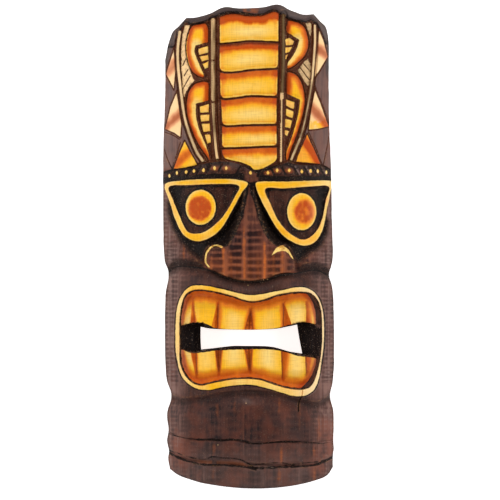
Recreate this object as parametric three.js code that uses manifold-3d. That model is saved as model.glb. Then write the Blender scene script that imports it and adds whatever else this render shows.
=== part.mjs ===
// A hand-carved tiki mask, cut from one half log of light wood and hollowed from the back.
// Millimetres. It lies on its back, with +X to the viewer's right, +Y towards the top of the head
// and +Z out of the face.
import * as THREE from 'three';
import { ConvexHull } from 'three/addons/math/ConvexHull.js';
import { mergeVertices } from 'three/addons/utils/BufferGeometryUtils.js';
import Module from 'manifold-3d';

// Driving dimensions of the half log
const HALF_WIDTH = 88.7;
const CROWN_HEIGHT = 62;
const SIDE_HEIGHT = 9;
const LOG_RISE = CROWN_HEIGHT - SIDE_HEIGHT;
const LOG_RADIUS = (HALF_WIDTH ** 2 + LOG_RISE ** 2) / (2 * LOG_RISE);
const LOG_AXIS = CROWN_HEIGHT - LOG_RADIUS;

// Driving dimensions of the hollow and the hanging notch in its upper end
const HOLLOW_HALF_WIDTH = 58;
const HOLLOW_DEPTH = 40;
const HOLLOW_HALF_LENGTH = 205;
const NOTCH_WIDTH = 10;
const NOTCH_DEPTH = 10;
const NOTCH_TOP = 219;
const NOTCH_LENGTH = 34;

// Depths of the carving below the log's round surface
const FIELD_DEPTH = 1.6;
const STEP_WIDTH = 1.4;
const CUSHION_FALL = 1.8;
const CUSHION_ROUND = 7;
const LINE_DEPTH = 3.4;
const LINE_HALF_WIDTH = 1.9;
const HORN_CROWN = 0.3;
const HORN_FALL = 1.9;
const HORN_ROUND = 5;
const COMB_DEPTH = 3.8;
const STRIP = { half: 1.8, depth: 0.4, line: 2.9, lineHalf: 1.3, lineDepth: 2.4 };
const STICK = { half: 2.2, depth: 0.5, fall: 0.8, line: 3.9, lineHalf: 1.7 };
const BROW = { depth: 0.8, lineHalf: 1.7, lineDepth: 2.4, footHalf: 3 };
const EYE_BAND_DEPTH = 5;
const EYE_BAND_FOOT = 45;
const FACE_CENTRE = 2;
const EYE_RIM_DEPTH = 5;
const EYEBALL_DEPTH = 6.6;
const EYEBALL_FALL = 2.6;
const EYEBALL_CROWN = 10;
const EYEBALL_REACH = 34;
const SOCKET_DEPTH_CHEEK = 9.5;
const SOCKET_DEPTH_NOSE = 14.5;
const SOCKET_SLOPE = 9;
const SOCKET_LIP = 1.8;
const SOCKET_LIP_ROUND = 6;
const BRIDGE_DEPTH = 4.5;
const BRIDGE_START = -10;
const LIP_LINE_DEPTH = 6.5;
const LIP_SLOPE = 13;
const NOSE_UNDERCUT = 2.6;
const CHEEK_SLOPE = 9;
const WING_FALL = 6;
const WING_ROUND = 10;
const BLOCK_DEPTH = 0.8;
const GUM_DEPTH = 8;
const GUM_SLOPE = 4.5;
const TOOTH_RISE = 3;
const TOOTH_ROUND = 10;
const TOOTH_GAP_DEPTH = 3.2;
const MOUTH_TOP = -81.5;
const MOUTH_GAP = 30;
const MOUTH_CENTRE = -95;
const MOUTH_END_LOW = 22;
const MOUTH_END_HIGH = 27;
const MOUTH_END_NEAR = 50;
const MOUTH_END_FAR = 72;
const SLOT_LEFT = -45.5;
const SLOT_RIGHT = [46, 51.5];
const VALLEY_DEPTH = 6;
const VALLEY_ABOVE = 5;
const VALLEY_BELOW = 18;
const END_BEVEL = 2.4;
const SIDE_BEVEL = 0.6;
const BEVEL_WIDTH = 4;
const SIDE_FADE = 13;

// Outline, as curves that meet at corners, from the lower left corner clockwise
const SIDE_LEFT = [
  [-81.5, -231], [-83.5, -219.5], [-82.5, -211.5], [-84.5, -201], [-83, -189.5], [-84.5, -173],
  [-80, -154.5], [-85, -138], [-86.5, -112.5], [-86.5, -55.5], [-83, -29.5], [-87.5, -11.5],
  [-88.5, 27], [-88.5, 99], [-86.5, 161], [-86.5, 192],
];
const SHOULDER_LEFT = [[-86.5, 192], [-83.5, 208.5], [-78.5, 221.5], [-72.5, 227.5], [-64.5, 236]];
const TOP_EDGE = [
  [-64.5, 236], [-53, 236.5], [-39.5, 240.5], [-29.5, 245.5], [-22, 247], [-9, 245.5],
  [14, 246.5], [30.5, 249.5], [43, 244], [56, 239.5], [67.5, 240],
];
const SHOULDER_RIGHT = [[67.5, 240], [73.5, 233.5], [80.5, 226], [83, 212.5], [83.2, 192]];
const SIDE_RIGHT = [
  [83.2, 192], [83.5, 135], [85.5, 83.5], [86.6, 27], [87.5, -11.5], [83.6, -30], [87.5, -46.5],
  [88.7, -86.5], [88.6, -125], [87, -142.5], [84.5, -155.5], [88, -171], [88.5, -187.5], [88, -201],
  [88.5, -209.5], [87.5, -217.5], [87.5, -229],
];
const FOOT_EDGE = [
  [87.5, -229], [79, -239], [53, -246.5], [22, -250], [-9, -250], [-45, -245.5], [-70.5, -238],
  [-81.5, -231],
];

// Headdress
const BORDER_INNER = [
  [-77.5, 205], [-73.5, 216.5], [-66.5, 229], [-58.5, 228.5], [-48, 230], [-30.5, 237], [-22, 239.5],
  [-12, 240], [-1.5, 238], [14, 238.5], [27.5, 242.5], [38.5, 235], [57, 230.5], [65.5, 232.5],
  [73.5, 223.5], [80, 208.5],
];
const COLUMN_LEFT = [[-30.5, 238], [-30.5, 171], [-28.5, 132], [-28.5, 94]];
const COLUMN_RIGHT = [[32, 241.5], [31, 171], [30, 140], [30.5, 88]];
const CUSHION_LINES = [
  [[-30.5, 209.5], [-14, 211], [1.5, 212.5], [17, 212], [31.5, 211]],
  [[-30.5, 180.5], [-23, 179], [-11, 179.5], [3.5, 181.5], [31, 183]],
  [[-29.5, 152.5], [-23, 151.5], [-9, 153], [3.5, 154.5], [30.5, 153.5]],
  [[-28.5, 125.5], [-21, 124], [-3.5, 125], [30.5, 125.5]],
  [[-28.5, 101], [-9, 101.5], [10, 102.5], [30.5, 103]],
];
const TONGUE_EDGE = [[-28.5, 94], [-23, 89], [-9, 85.5], [1.5, 81.5], [6, 77.5], [17, 80], [30.5, 88]];
const STICKS = [
  [[-36.5, 233], [-36.5, 171], [-36, 135], [-34, 104], [-32, 88.5]],
  [[36, 238], [36, 192], [34.5, 150.5], [34, 87.5]],
];
const HORNS = [
  {
    outer: [
      [-41, 210], [-41, 223.5], [-44, 230], [-51, 229.5], [-58.5, 227.5], [-63, 218.5], [-65, 206],
      [-63.5, 192], [-59.5, 181.5], [-53, 175.5], [-46.5, 173],
    ],
    inner: [[-46.5, 173], [-45.5, 177], [-49, 185.5], [-52.5, 193.5], [-55, 201], [-54, 206.5]],
  },
  {
    outer: [
      [-40.5, 149.5], [-40.5, 167], [-43.5, 170], [-49, 170], [-56, 167.5], [-62, 160], [-64.5, 147.5],
      [-63.5, 134], [-59.5, 119.5], [-53.5, 105.5], [-47, 94], [-39.5, 87.5],
    ],
    inner: [[-39.5, 87.5], [-42.5, 100], [-46.5, 110.5], [-50.5, 121.5], [-53.5, 135], [-53.5, 146.5]],
  },
  {
    outer: [
      [38.5, 220.5], [38.5, 227], [40.5, 233], [47, 232.5], [54, 230], [59.5, 223.5], [62.5, 209.5],
      [59.5, 198], [52, 189.5], [45, 184], [39, 182],
    ],
    inner: [[39, 182], [40, 189.5], [44.5, 196], [48.5, 203], [51.5, 212.5]],
  },
  {
    outer: [
      [38.5, 157], [38.5, 175.5], [41, 180], [49, 177.5], [55, 169.5], [58.5, 155.5], [58, 142.5],
      [53, 123.5], [48, 109.5], [43, 97], [38, 87],
    ],
    inner: [[38, 87], [40, 99], [44.5, 110.5], [48.5, 123.5], [51.5, 137], [52.5, 150.5]],
  },
];
const STRIPS = [
  [[-71, 221.5], [-73, 206], [-73, 189.5], [-71, 169], [-65.5, 131], [-55, 100.5], [-47, 87.5]],
  [[68.5, 228], [68.5, 207], [65, 167], [58.5, 131], [53.5, 112.5], [43, 86.5]],
];

// Brows, and the foot of the overhang below each
const BROWS = [
  [[-86, 76.5], [-70.5, 80], [-58.5, 82], [-47, 86], [-35.5, 88.5], [-21, 88.5], [-9, 85.5], [5.5, 78]],
  [[7.5, 76.5], [20, 79.5], [30.5, 83.5], [40.5, 88], [50, 85.5], [72.5, 84], [85, 78]],
];
const BROW_FOOT = [[-88, 69.5], [-65.5, 71], [-39.5, 72], [0, 72.5], [37.5, 70], [86, 70.5]];

// Each eye: the rim's outer edge, the eyeball's edge inside the rim, the dark socket and the pupil's centre
const EYES = [
  {
    rim: [
      [-86.5, 63.5], [-70.5, 67.5], [-45, 69], [-17, 69], [-1, 65], [-9, 54.5], [-18, 36], [-27.5, 18.5],
      [-39.5, 9], [-53, 5], [-66.5, 11], [-75.5, 27], [-81, 44.5],
    ],
    ball: [
      [-82, 61.5], [-60.5, 63], [-34.5, 64], [-9.5, 63], [-16, 49.5], [-26.5, 31], [-38.5, 18],
      [-51, 13], [-63.5, 15.5], [-72.5, 34], [-78, 47.5],
    ],
    socket: [
      [-87, 45.5], [-82, 24.5], [-74, 6.5], [-62.5, -6.5], [-47, -18], [-40, -3.5], [-23, -1],
      [-16, 9.5], [-7.5, 31], [-2.5, 51.5], [-0.5, 65],
    ],
    centre: [-49.5, 40],
  },
  {
    rim: [
      [86, 67], [63.5, 67.5], [37.5, 66.5], [14, 66.5], [7.5, 64], [12, 51.5], [20, 36], [31.5, 17],
      [43, 6], [57, 0.5], [69.5, 5], [77, 18.5], [81.5, 40], [85, 57.5],
    ],
    ball: [
      [83, 61.5], [63.5, 61.5], [37.5, 59.5], [17.5, 59], [23, 43.5], [32, 26], [43, 13], [57, 6.5],
      [69.5, 14.5], [76.5, 29], [80, 47.5],
    ],
    socket: [
      [1.5, 64], [4.5, 51.5], [11, 31], [19, 10.5], [28.5, -1], [39, -2.5], [49, -19],
      [63.5, -9.5], [74.5, -2.5], [82, 10.5], [85, 26],
    ],
    centre: [55, 35.5],
  },
];

// Nose and mouth
const NOSTRILS = [
  [[-27.5, -1], [-33.5, 0.5], [-40, -3], [-44, -10], [-43.5, -17.5], [-41, -23]],
  [[30, -3.5], [35.5, -1.5], [42, -5.5], [46.5, -14], [47.5, -24]],
];
const NOSE_HALF_WIDTH = 44;
const LIP_LINE = [
  [-87, -32], [-76, -22], [-60.5, -21.5], [-42, -24.5], [-21, -33.5], [-1.5, -37], [17, -35.5],
  [32.5, -30], [50, -28], [69.5, -25], [87, -33],
];
const MOUTH_INNER = [
  [-71.5, -95], [-71, -71], [-66.5, -52.5], [-57, -45.5], [-42, -45.5], [-21, -50], [-0.5, -56.5],
  [14, -55.5], [32.5, -49.5], [55, -47], [67.5, -51], [74.5, -65], [76, -92], [73.5, -119.5],
  [66, -143], [53, -148.5], [32.5, -145], [10, -138], [-13, -137.5], [-34.5, -141], [-51, -144],
  [-63.5, -136.5], [-70.5, -121.5],
];
const UPPER_TEETH_EDGE = [
  [-70, -83], [-60.5, -79.5], [-48, -80], [-34.5, -85], [-17, -86.5], [7.5, -86.5], [27.5, -85],
  [43, -81], [56, -78.5], [74, -81],
];
const LOWER_TEETH_EDGE = [
  [-70, -105], [-58.5, -109.5], [-45, -108.5], [-29.5, -106.5], [1.5, -106], [24, -106],
  [40.5, -110], [55, -114], [72, -119],
];
const SLOT = [
  [-50.5, -84], [-27.5, -87], [1.5, -87.5], [24, -86], [50, -81.5], [52.5, -95], [55.5, -111.5],
  [37.5, -108.5], [20, -104], [-9, -103.5], [-31.5, -104], [-49, -107.5], [-50, -96],
];
// Each gap between two teeth: where it starts at the gum, where it meets the mouth, its half width there
const TOOTH_GAPS = [
  { gum: [-58, -54], mouth: [-57, -80], half: 2.5 },
  { gum: [-31.5, -57], mouth: [-31, -86], half: 4.5 },
  { gum: [2.5, -65], mouth: [1.5, -87], half: 3.8 },
  { gum: [34.5, -57], mouth: [37, -83], half: 4.5 },
  { gum: [61, -56], mouth: [61, -79], half: 2.5 },
  { gum: [-54, -137], mouth: [-56, -109], half: 2.5 },
  { gum: [-29, -134], mouth: [-31, -106], half: 3.5 },
  { gum: [1.5, -131], mouth: [1, -106], half: 3.8 },
  { gum: [36.5, -140], mouth: [35.5, -108], half: 3 },
  { gum: [63, -140], mouth: [58.5, -115], half: 2.5 },
];

// Chin
const CHIN_VALLEY = [
  [-86, -152], [-70.5, -160], [-50, -158.5], [-27.5, -154], [1.5, -151.5], [27.5, -154], [53, -161],
  [71.5, -164], [88, -154],
];
const CHIN_LINES = [
  {
    path: [
      [-86, -190.5], [-70.5, -197.5], [-50, -200.5], [-17, -200.5], [4.5, -204], [34.5, -202.5],
      [65.5, -203.5], [90, -200.5],
    ],
    half: 1.6,
    depth: 1.8,
  },
  {
    path: [[-86, -210.5], [-65.5, -220], [-39.5, -223.5], [-11, -225.5], [9, -229.5]],
    half: 2.8,
    depth: 3.2,
  },
  {
    path: [[-3.5, -225], [22, -226], [65.5, -226], [80, -221], [90, -215]],
    half: 2.4,
    depth: 2.8,
  },
];

// Spacing of the mesh points
const RING_STEP = 5;
const EDGE_KEEP = 3.1;
const FEATURE_KEEP = 1.25;
const GRID_STEP = 7.6;
const GRID_KEEP = 4.4;

const { smoothstep, lerp, clamp } = THREE.MathUtils;
const fall = (distance, width) => 1 - smoothstep(distance, 0, width);
const groove = (distance, half, depth) => depth * Math.max(0, 1 - distance / half);

// A smooth curve through the given points, as evenly spaced points
function curve(points, step = 2.5, closed = false) {
  const corners = points.map(([x, y]) => new THREE.Vector3(x, y, 0));
  const spline = new THREE.CatmullRomCurve3(corners, closed, 'catmullrom', 0.5);
  const count = Math.max(2, Math.round(spline.getLength() / step));
  const line = spline.getSpacedPoints(count).map((p) => [p.x, p.y]);
  return closed ? line.slice(0, -1) : line;
}

// Shortest distance from a point to a line of points
function distanceTo(line, x, y, closed = false) {
  let best = Infinity;
  const segments = closed ? line.length : line.length - 1;
  for (let i = 0; i < segments; i += 1) {
    const [ax, ay] = line[i];
    const [bx, by] = line[(i + 1) % line.length];
    const dx = bx - ax;
    const dy = by - ay;
    const along = clamp(((x - ax) * dx + (y - ay) * dy) / (dx * dx + dy * dy || 1), 0, 1);
    best = Math.min(best, Math.hypot(x - ax - along * dx, y - ay - along * dy));
  }
  return best;
}

function isInside(loop, x, y) {
  let inside = false;
  for (let i = 0, j = loop.length - 1; i < loop.length; j = i, i += 1) {
    const [ax, ay] = loop[i];
    const [bx, by] = loop[j];
    if (ay > y !== by > y && x < ((bx - ax) * (y - ay)) / (by - ay) + ax) inside = !inside;
  }
  return inside;
}

// Distance to a loop, positive inside it
const depthIn = (loop, x, y) => distanceTo(loop, x, y, true) * (isInside(loop, x, y) ? 1 : -1);

// Height of a curve that runs from left to right, at one x
function heightAt(line, x) {
  let i = 1;
  while (i < line.length - 1 && line[i][0] < x) i += 1;
  const [ax, ay] = line[i - 1];
  const [bx, by] = line[i];
  return lerp(ay, by, clamp((x - ax) / (bx - ax), 0, 1));
}

// The curves as lines of points
const OUTLINE = [SIDE_LEFT, SHOULDER_LEFT, TOP_EDGE, SHOULDER_RIGHT, SIDE_RIGHT, FOOT_EDGE]
  .flatMap((part) => curve(part, RING_STEP).slice(0, -1));
const border = curve(BORDER_INNER);
const columnLeft = curve(COLUMN_LEFT);
const columnRight = curve(COLUMN_RIGHT);
const cushionLines = CUSHION_LINES.map((line) => curve(line));
const tongue = curve(TONGUE_EDGE);
const column = [
  ...columnLeft.slice().reverse(),
  ...border.filter(([x]) => x > COLUMN_LEFT[0][0] && x < COLUMN_RIGHT[0][0]),
  ...columnRight,
  ...tongue.slice().reverse(),
];
const sticks = STICKS.map((line) => curve(line));
const strips = STRIPS.map((line) => curve(line));
const brows = BROWS.map((line) => curve(line));
const browLine = brows.flat();
const browFoot = curve(BROW_FOOT);
const field = [
  ...strips[0].slice().reverse(),
  ...border.filter(([x]) => x > STRIPS[0][0][0] && x < STRIPS[1][0][0]),
  ...strips[1],
  ...browLine.filter(([x]) => x > strips[0].at(-1)[0] && x < strips[1].at(-1)[0]).reverse(),
];
const horns = HORNS.map(({ outer, inner }) => {
  const back = curve(outer);
  const front = curve(inner);
  return { outer: back, loop: [...back, ...front.slice(1)], front };
});
// A comb lies between each horn's hollow side and the stick beside it
const combs = horns.map(({ front }, index) => {
  const stick = sticks[index < 2 ? 0 : 1];
  const side = index < 2 ? -1 : 1;
  const edge = stick.filter(([, y]) => y < front.at(-1)[1] + 4 && y > front[0][1]);
  return [...front, ...edge.map(([x, y]) => [x + side * STICK.line, y])];
});
const eyes = EYES.map(({ rim, ball, socket, centre }) => ({
  rim: curve(rim, 2.5, true),
  ball: curve(ball, 2.5, true),
  socket: [...curve(socket), [centre[0], BROW_FOOT[0][1]]],
  centre,
}));
const nostrils = NOSTRILS.map((control) => {
  const line = curve(control);
  return { line, side: Math.sign(control[0][0]), turned: line.map(([x, y]) => [-y, x]) };
});
const lipLine = curve(LIP_LINE);
const mouth = curve(MOUTH_INNER, 2.5, true);
const upperTeeth = curve(UPPER_TEETH_EDGE);
const lowerTeeth = curve(LOWER_TEETH_EDGE);
const slot = curve(SLOT, 6, true);
const valley = curve(CHIN_VALLEY);
const lipHeight = (x) => heightAt(lipLine, x);
const valleyHeight = (x) => heightAt(valley, x);
const chinLines = CHIN_LINES.map(({ path, half, depth }) => ({ path: curve(path), half, depth }));

// Carving between the top border and the brows
function headdressDepth(x, y) {
  let depth = FIELD_DEPTH * smoothstep(depthIn(field, x, y), 0, STEP_WIDTH);
  const inColumn = depthIn(column, x, y);
  if (inColumn > 0) {
    const near = Math.min(inColumn, ...cushionLines.map((line) => distanceTo(line, x, y)));
    depth = CUSHION_FALL * fall(near, CUSHION_ROUND);
  }
  horns.forEach(({ loop }) => {
    const inHorn = depthIn(loop, x, y);
    if (inHorn > 0) depth = HORN_CROWN + HORN_FALL * fall(inHorn, HORN_ROUND);
  });
  combs.forEach((loop) => {
    depth = Math.max(depth, COMB_DEPTH * smoothstep(depthIn(loop, x, y), 0, STEP_WIDTH));
  });
  strips.forEach((line) => {
    const away = distanceTo(line, x, y);
    if (away < STRIP.half) depth = STRIP.depth;
    depth = Math.max(depth, groove(Math.abs(away - STRIP.line), STRIP.lineHalf, STRIP.lineDepth));
  });
  sticks.forEach((line) => {
    const away = distanceTo(line, x, y);
    if (away < STICK.half) depth = STICK.depth + STICK.fall * (away / STICK.half) ** 2;
    depth = Math.max(depth, groove(Math.abs(away - STICK.line), STICK.lineHalf, LINE_DEPTH));
  });
  const cuts = [...cushionLines, ...horns.map(({ outer }) => outer)];
  cuts.forEach((line) => {
    depth = Math.max(depth, groove(distanceTo(line, x, y), LINE_HALF_WIDTH, LINE_DEPTH));
  });
  return depth;
}

// Inside one socket: its dark floor, the eye's rim and the eyeball within the rim
function eyeDepth({ rim, ball, socket, centre }, x, y, around) {
  let depth = around;
  const foot = heightAt(browFoot, x) - BROW.footHalf;
  const inSocket = depthIn(socket, x, y);
  if (inSocket > 0 && y < foot) {
    const towardsNose = smoothstep(-Math.abs(x - FACE_CENTRE), -48, -20);
    const floor = lerp(SOCKET_DEPTH_CHEEK, SOCKET_DEPTH_NOSE, towardsNose);
    depth = Math.max(depth, floor * smoothstep(inSocket, -2, SOCKET_SLOPE));
  } else if (y > lipHeight(x) + CHEEK_SLOPE && y < EYE_BAND_FOOT) {
    depth = Math.max(depth, SOCKET_LIP * fall(-inSocket, SOCKET_LIP_ROUND));
  }
  const outsideRim = -depthIn(rim, x, y);
  if (outsideRim < STEP_WIDTH) depth = lerp(EYE_RIM_DEPTH, depth, smoothstep(outsideRim, 0, STEP_WIDTH));
  const inBall = depthIn(ball, x, y);
  if (inBall > 0) {
    const away = Math.hypot(x - centre[0], y - centre[1]);
    const globe = EYEBALL_DEPTH + EYEBALL_FALL * smoothstep(away, EYEBALL_CROWN, EYEBALL_REACH);
    depth = lerp(EYE_RIM_DEPTH, globe, smoothstep(inBall, 0, STEP_WIDTH));
  }
  return depth;
}

// Brows, eyes, nose and cheeks
function faceDepth(x, y) {
  const foot = heightAt(browFoot, x);
  const bridge = BRIDGE_DEPTH * smoothstep(y, BRIDGE_START, foot);
  const beside = y > EYE_BAND_FOOT ? smoothstep(Math.abs(x - FACE_CENTRE), 5, 12) : 0;
  let depth = lerp(bridge, EYE_BAND_DEPTH, beside);
  depth = lerp(depth, BROW.depth, smoothstep(y, foot - BROW.footHalf, foot + BROW.footHalf));
  eyes.forEach((eye) => {
    depth = eyeDepth(eye, x, y, depth);
  });
  nostrils.forEach(({ line, side, turned }) => {
    const beyond = (x - heightAt(turned, -y)) * side;
    if (beyond > 0 && y < 0) depth = Math.max(depth, WING_FALL * fall(distanceTo(line, x, y), WING_ROUND));
  });
  return depth;
}

// The cut under the nose and cheeks, and the one between lower lip and chin
function crossCuts(x, y) {
  const aboveLip = y - lipHeight(x);
  const beside = smoothstep(Math.abs(x - FACE_CENTRE), NOSE_HALF_WIDTH - 5, NOSE_HALF_WIDTH + 5);
  const rise = lerp(NOSE_UNDERCUT, CHEEK_SLOPE, beside);
  const lip = LIP_LINE_DEPTH * (aboveLip > 0 ? fall(aboveLip, rise) : fall(-aboveLip, LIP_SLOPE));
  const aboveValley = y - valleyHeight(x);
  const away = Math.abs(aboveValley);
  const chin = VALLEY_DEPTH * fall(away, aboveValley > 0 ? VALLEY_ABOVE : VALLEY_BELOW);
  return Math.max(lip, chin);
}

// Inside the lips: gums, two rows of teeth and the dark ends beside the slot
function mouthHeight(x, y, surface) {
  const inMouth = depthIn(mouth, x, y);
  const gum = surface - GUM_DEPTH * smoothstep(inMouth, 0, GUM_SLOPE);
  let z = gum + TOOTH_RISE * smoothstep(inMouth, GUM_SLOPE, GUM_SLOPE + TOOTH_ROUND);
  TOOTH_GAPS.forEach(({ gum: top, mouth: end, half }) => {
    const down = (top[1] - y) / (top[1] - end[1]);
    const isSameRow = top[1] > MOUTH_CENTRE === y > MOUTH_CENTRE;
    const middle = lerp(top[0], end[0], down);
    const width = Math.max(half * clamp(down, 0, 1), half / 4);
    if (isSameRow && down > 0) z -= groove(Math.abs(x - middle), width, TOOTH_GAP_DEPTH);
  });
  const isBetweenRows = y < heightAt(upperTeeth, x) && y > heightAt(lowerTeeth, x);
  const isPastSlot = x < SLOT_LEFT || x > lerp(SLOT_RIGHT[0], SLOT_RIGHT[1], (MOUTH_TOP - y) / MOUTH_GAP);
  if (isBetweenRows && isPastSlot && inMouth > 1) {
    return lerp(MOUTH_END_LOW, MOUTH_END_HIGH, smoothstep(Math.abs(x), MOUTH_END_NEAR, MOUTH_END_FAR));
  }
  return z;
}

// Height of the carved face over the back's plane
function faceHeight(x, y) {
  const reach = Math.min(Math.abs(x), HALF_WIDTH);
  const round = LOG_AXIS + Math.sqrt(LOG_RADIUS ** 2 - reach ** 2);
  const edge = distanceTo(OUTLINE, x, y, true);
  const bevel = y > SHOULDER_LEFT[0][1] || y < SIDE_LEFT[0][1] ? END_BEVEL : SIDE_BEVEL;
  let depth = bevel * fall(edge, BEVEL_WIDTH);
  const browHeight = heightAt(browLine, x);
  if (y > browHeight) depth = Math.max(depth, headdressDepth(x, y));
  brows.forEach((line) => {
    depth = Math.max(depth, groove(distanceTo(line, x, y), BROW.lineHalf, BROW.lineDepth));
  });
  const sideFade = lerp(0.3, 1, smoothstep(HALF_WIDTH - Math.abs(x), 0, SIDE_FADE));
  if (y <= browHeight && y > lipHeight(x)) depth = Math.max(depth, sideFade * faceDepth(x, y));
  if (y <= lipHeight(x) && y > valleyHeight(x)) depth = Math.max(depth, BLOCK_DEPTH);
  depth = Math.max(depth, lerp(0.75, 1, sideFade) * crossCuts(x, y));
  chinLines.forEach(({ path, half, depth: cut }) => {
    depth = Math.max(depth, groove(distanceTo(path, x, y), half, cut));
  });
  const surface = round - depth;
  return isInside(mouth, x, y) ? mouthHeight(x, y, surface) : surface;
}

// Mesh points: rows beside each carved line, then a loose grid between them
const points = [];
const cells = new Map();
const cellOf = (x, y) => `${Math.floor(x / GRID_STEP)},${Math.floor(y / GRID_STEP)}`;

function isFree(x, y, keep) {
  for (let i = -1; i <= 1; i += 1) {
    for (let j = -1; j <= 1; j += 1) {
      const near = cells.get(cellOf(x + i * GRID_STEP, y + j * GRID_STEP)) ?? [];
      if (near.some((n) => Math.hypot(points[n][0] - x, points[n][1] - y) < keep)) return false;
    }
  }
  return true;
}

function addPoint(x, y) {
  const key = cellOf(x, y);
  if (!cells.has(key)) cells.set(key, []);
  cells.get(key).push(points.length);
  points.push([x, y]);
}

// Rows of points along a line, each at its own distance to the left of it, or into it where it is closed
function addRows(control, step, offsets, closed = false) {
  const line = curve(control, step, closed);
  if (closed && THREE.ShapeUtils.area(line.map(([x, y]) => ({ x, y }))) < 0) line.reverse();
  offsets.forEach((offset) => {
    line.forEach(([x, y], i) => {
      const before = line[closed ? (i + line.length - 1) % line.length : Math.max(i - 1, 0)];
      const after = line[closed ? (i + 1) % line.length : Math.min(i + 1, line.length - 1)];
      const length = Math.hypot(after[0] - before[0], after[1] - before[1]);
      const px = x - (offset * (after[1] - before[1])) / length;
      const py = y + (offset * (after[0] - before[0])) / length;
      const edge = depthIn(OUTLINE, px, py);
      if (edge > EDGE_KEEP && isFree(px, py, FEATURE_KEEP)) addPoint(px, py);
    });
  });
}

OUTLINE.forEach(([x, y]) => addPoint(x, y));
addRows(OUTLINE, RING_STEP, [EDGE_KEEP + 0.2], true);
addRows(SLOT, 6, [0], true);
[UPPER_TEETH_EDGE, LOWER_TEETH_EDGE].forEach((line, i) => addRows(line, 5, i ? [0, 1.3] : [0, -1.3]));
EYES.forEach(({ rim, ball, socket }) => {
  addRows(rim, 5, [0, -STEP_WIDTH], true);
  addRows(ball, 5.5, [0, STEP_WIDTH], true);
  addRows(socket, 6, [0, SOCKET_SLOPE / 2]);
});
addRows(MOUTH_INNER, 5.5, [0, 1, GUM_SLOPE], true);
TOOTH_GAPS.forEach(({ gum, mouth: end, half }) => addRows([gum, end], 6, [0, -half, half]));
addRows(LIP_LINE, 6, [0, NOSE_UNDERCUT, -6, -LIP_SLOPE]);
addRows(CHIN_VALLEY, 7, [0, VALLEY_ABOVE, -8]);
CHIN_LINES.forEach(({ path, half }) => addRows(path, 7, [0, -half, half]));
BROWS.forEach((line) => addRows(line, 6, [0, BROW.lineHalf, -BROW.lineHalf]));
addRows(BROW_FOOT, 7, [BROW.footHalf, -BROW.footHalf]);
CUSHION_LINES.forEach((line) => addRows(line, 7.5, [0, LINE_HALF_WIDTH, -LINE_HALF_WIDTH, 6]));
STICKS.forEach((line) => addRows(line, 6.5, [0, STICK.line, -STICK.line, 2.2, -2.2, 5.6, -5.6]));
HORNS.forEach(({ outer, inner }) => {
  addRows(outer, 5, [0, LINE_HALF_WIDTH, -LINE_HALF_WIDTH]);
  addRows(inner, 5, [0, 1.4, -1.4]);
  addRows([inner.at(-1), outer[0]], 4, [0, 1.4, -1.4]);
});
STRIPS.forEach((line) => addRows(line, 6.5, [2.9, -2.9, 1.7, -1.7, 4.2, -4.2]));
addRows(BORDER_INNER, 8, [0, 1.6]);
NOSTRILS.forEach((line) => addRows(line, 4, [0, 1.5, -1.5]));
for (let row = 0, y = -245; y < 250; row += 1, y += GRID_STEP * 0.87) {
  for (let x = -88; x < 89; x += GRID_STEP) {
    const px = x + (row % 2 ? GRID_STEP / 2 : 0) + 0.3 * Math.sin(row * 3.1 + x);
    const py = y + 0.3 * Math.cos(row * 1.7 + x);
    if (depthIn(OUTLINE, px, py) > EDGE_KEEP && isFree(px, py, GRID_KEEP)) addPoint(px, py);
  }
}

// Delaunay triangles: the lower side of the points' hull once lifted onto a paraboloid
function triangulate() {
  const scale = 1 / HALF_WIDTH;
  const lifted = points.map(([x, y]) => {
    const lx = x * scale;
    const ly = y * scale;
    return new THREE.Vector3(lx, ly, lx * lx + ly * ly);
  });
  const order = new Map(lifted.map((p, i) => [p, i]));
  const hull = new ConvexHull().setFromPoints(lifted);
  return hull.faces
    .filter((face) => face.normal.z < 0)
    .map((face) => [0, 2, 1].map((k) => order.get(face.getEdge(k).head().point)))
    .filter((corners) => {
      const cx = corners.reduce((sum, i) => sum + points[i][0], 0) / 3;
      const cy = corners.reduce((sum, i) => sum + points[i][1], 0) / 3;
      return isInside(OUTLINE, cx, cy);
    });
}

// The carved blank: face, side walls down to the back's plane, and the back itself
function blankGeometry() {
  const face = triangulate();
  const ring = OUTLINE.length;
  const position = points.map(([x, y]) => [x, y, faceHeight(x, y)]);
  const back = points.length;
  OUTLINE.forEach(([x, y]) => position.push([x, y, 0]));
  const index = [...face];
  for (let i = 0; i < ring; i += 1) {
    const next = (i + 1) % ring;
    index.push([i, next, back + next], [i, back + next, back + i]);
  }
  const outline = OUTLINE.map(([x, y]) => new THREE.Vector2(x, y));
  THREE.ShapeUtils.triangulateShape(outline, [])
    .forEach(([a, b, c]) => index.push([back + a, back + c, back + b]));
  const geometry = new THREE.BufferGeometry();
  geometry.setAttribute('position', new THREE.Float32BufferAttribute(position.flat(), 3));
  geometry.setIndex(index.flat());
  return geometry;
}

const wasm = await Module();
wasm.setup();

function toSolid(geometry) {
  const bare = geometry.clone();
  bare.deleteAttribute('normal');
  bare.deleteAttribute('uv');
  const merged = mergeVertices(bare, 1e-4);
  const mesh = new wasm.Mesh({
    numProp: 3,
    vertProperties: new Float32Array(merged.attributes.position.array),
    triVerts: new Uint32Array(merged.index.array),
  });
  return new wasm.Manifold(mesh);
}

// The hollow: a trough with round ends
function hollowGeometry() {
  const radius = (HOLLOW_HALF_WIDTH ** 2 + HOLLOW_DEPTH ** 2) / (2 * HOLLOW_DEPTH);
  const straight = 2 * (HOLLOW_HALF_LENGTH - HOLLOW_HALF_WIDTH);
  const trough = new THREE.CapsuleGeometry(radius, straight, 6, 32);
  return trough.translate(0, 0, HOLLOW_DEPTH - radius);
}

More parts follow.
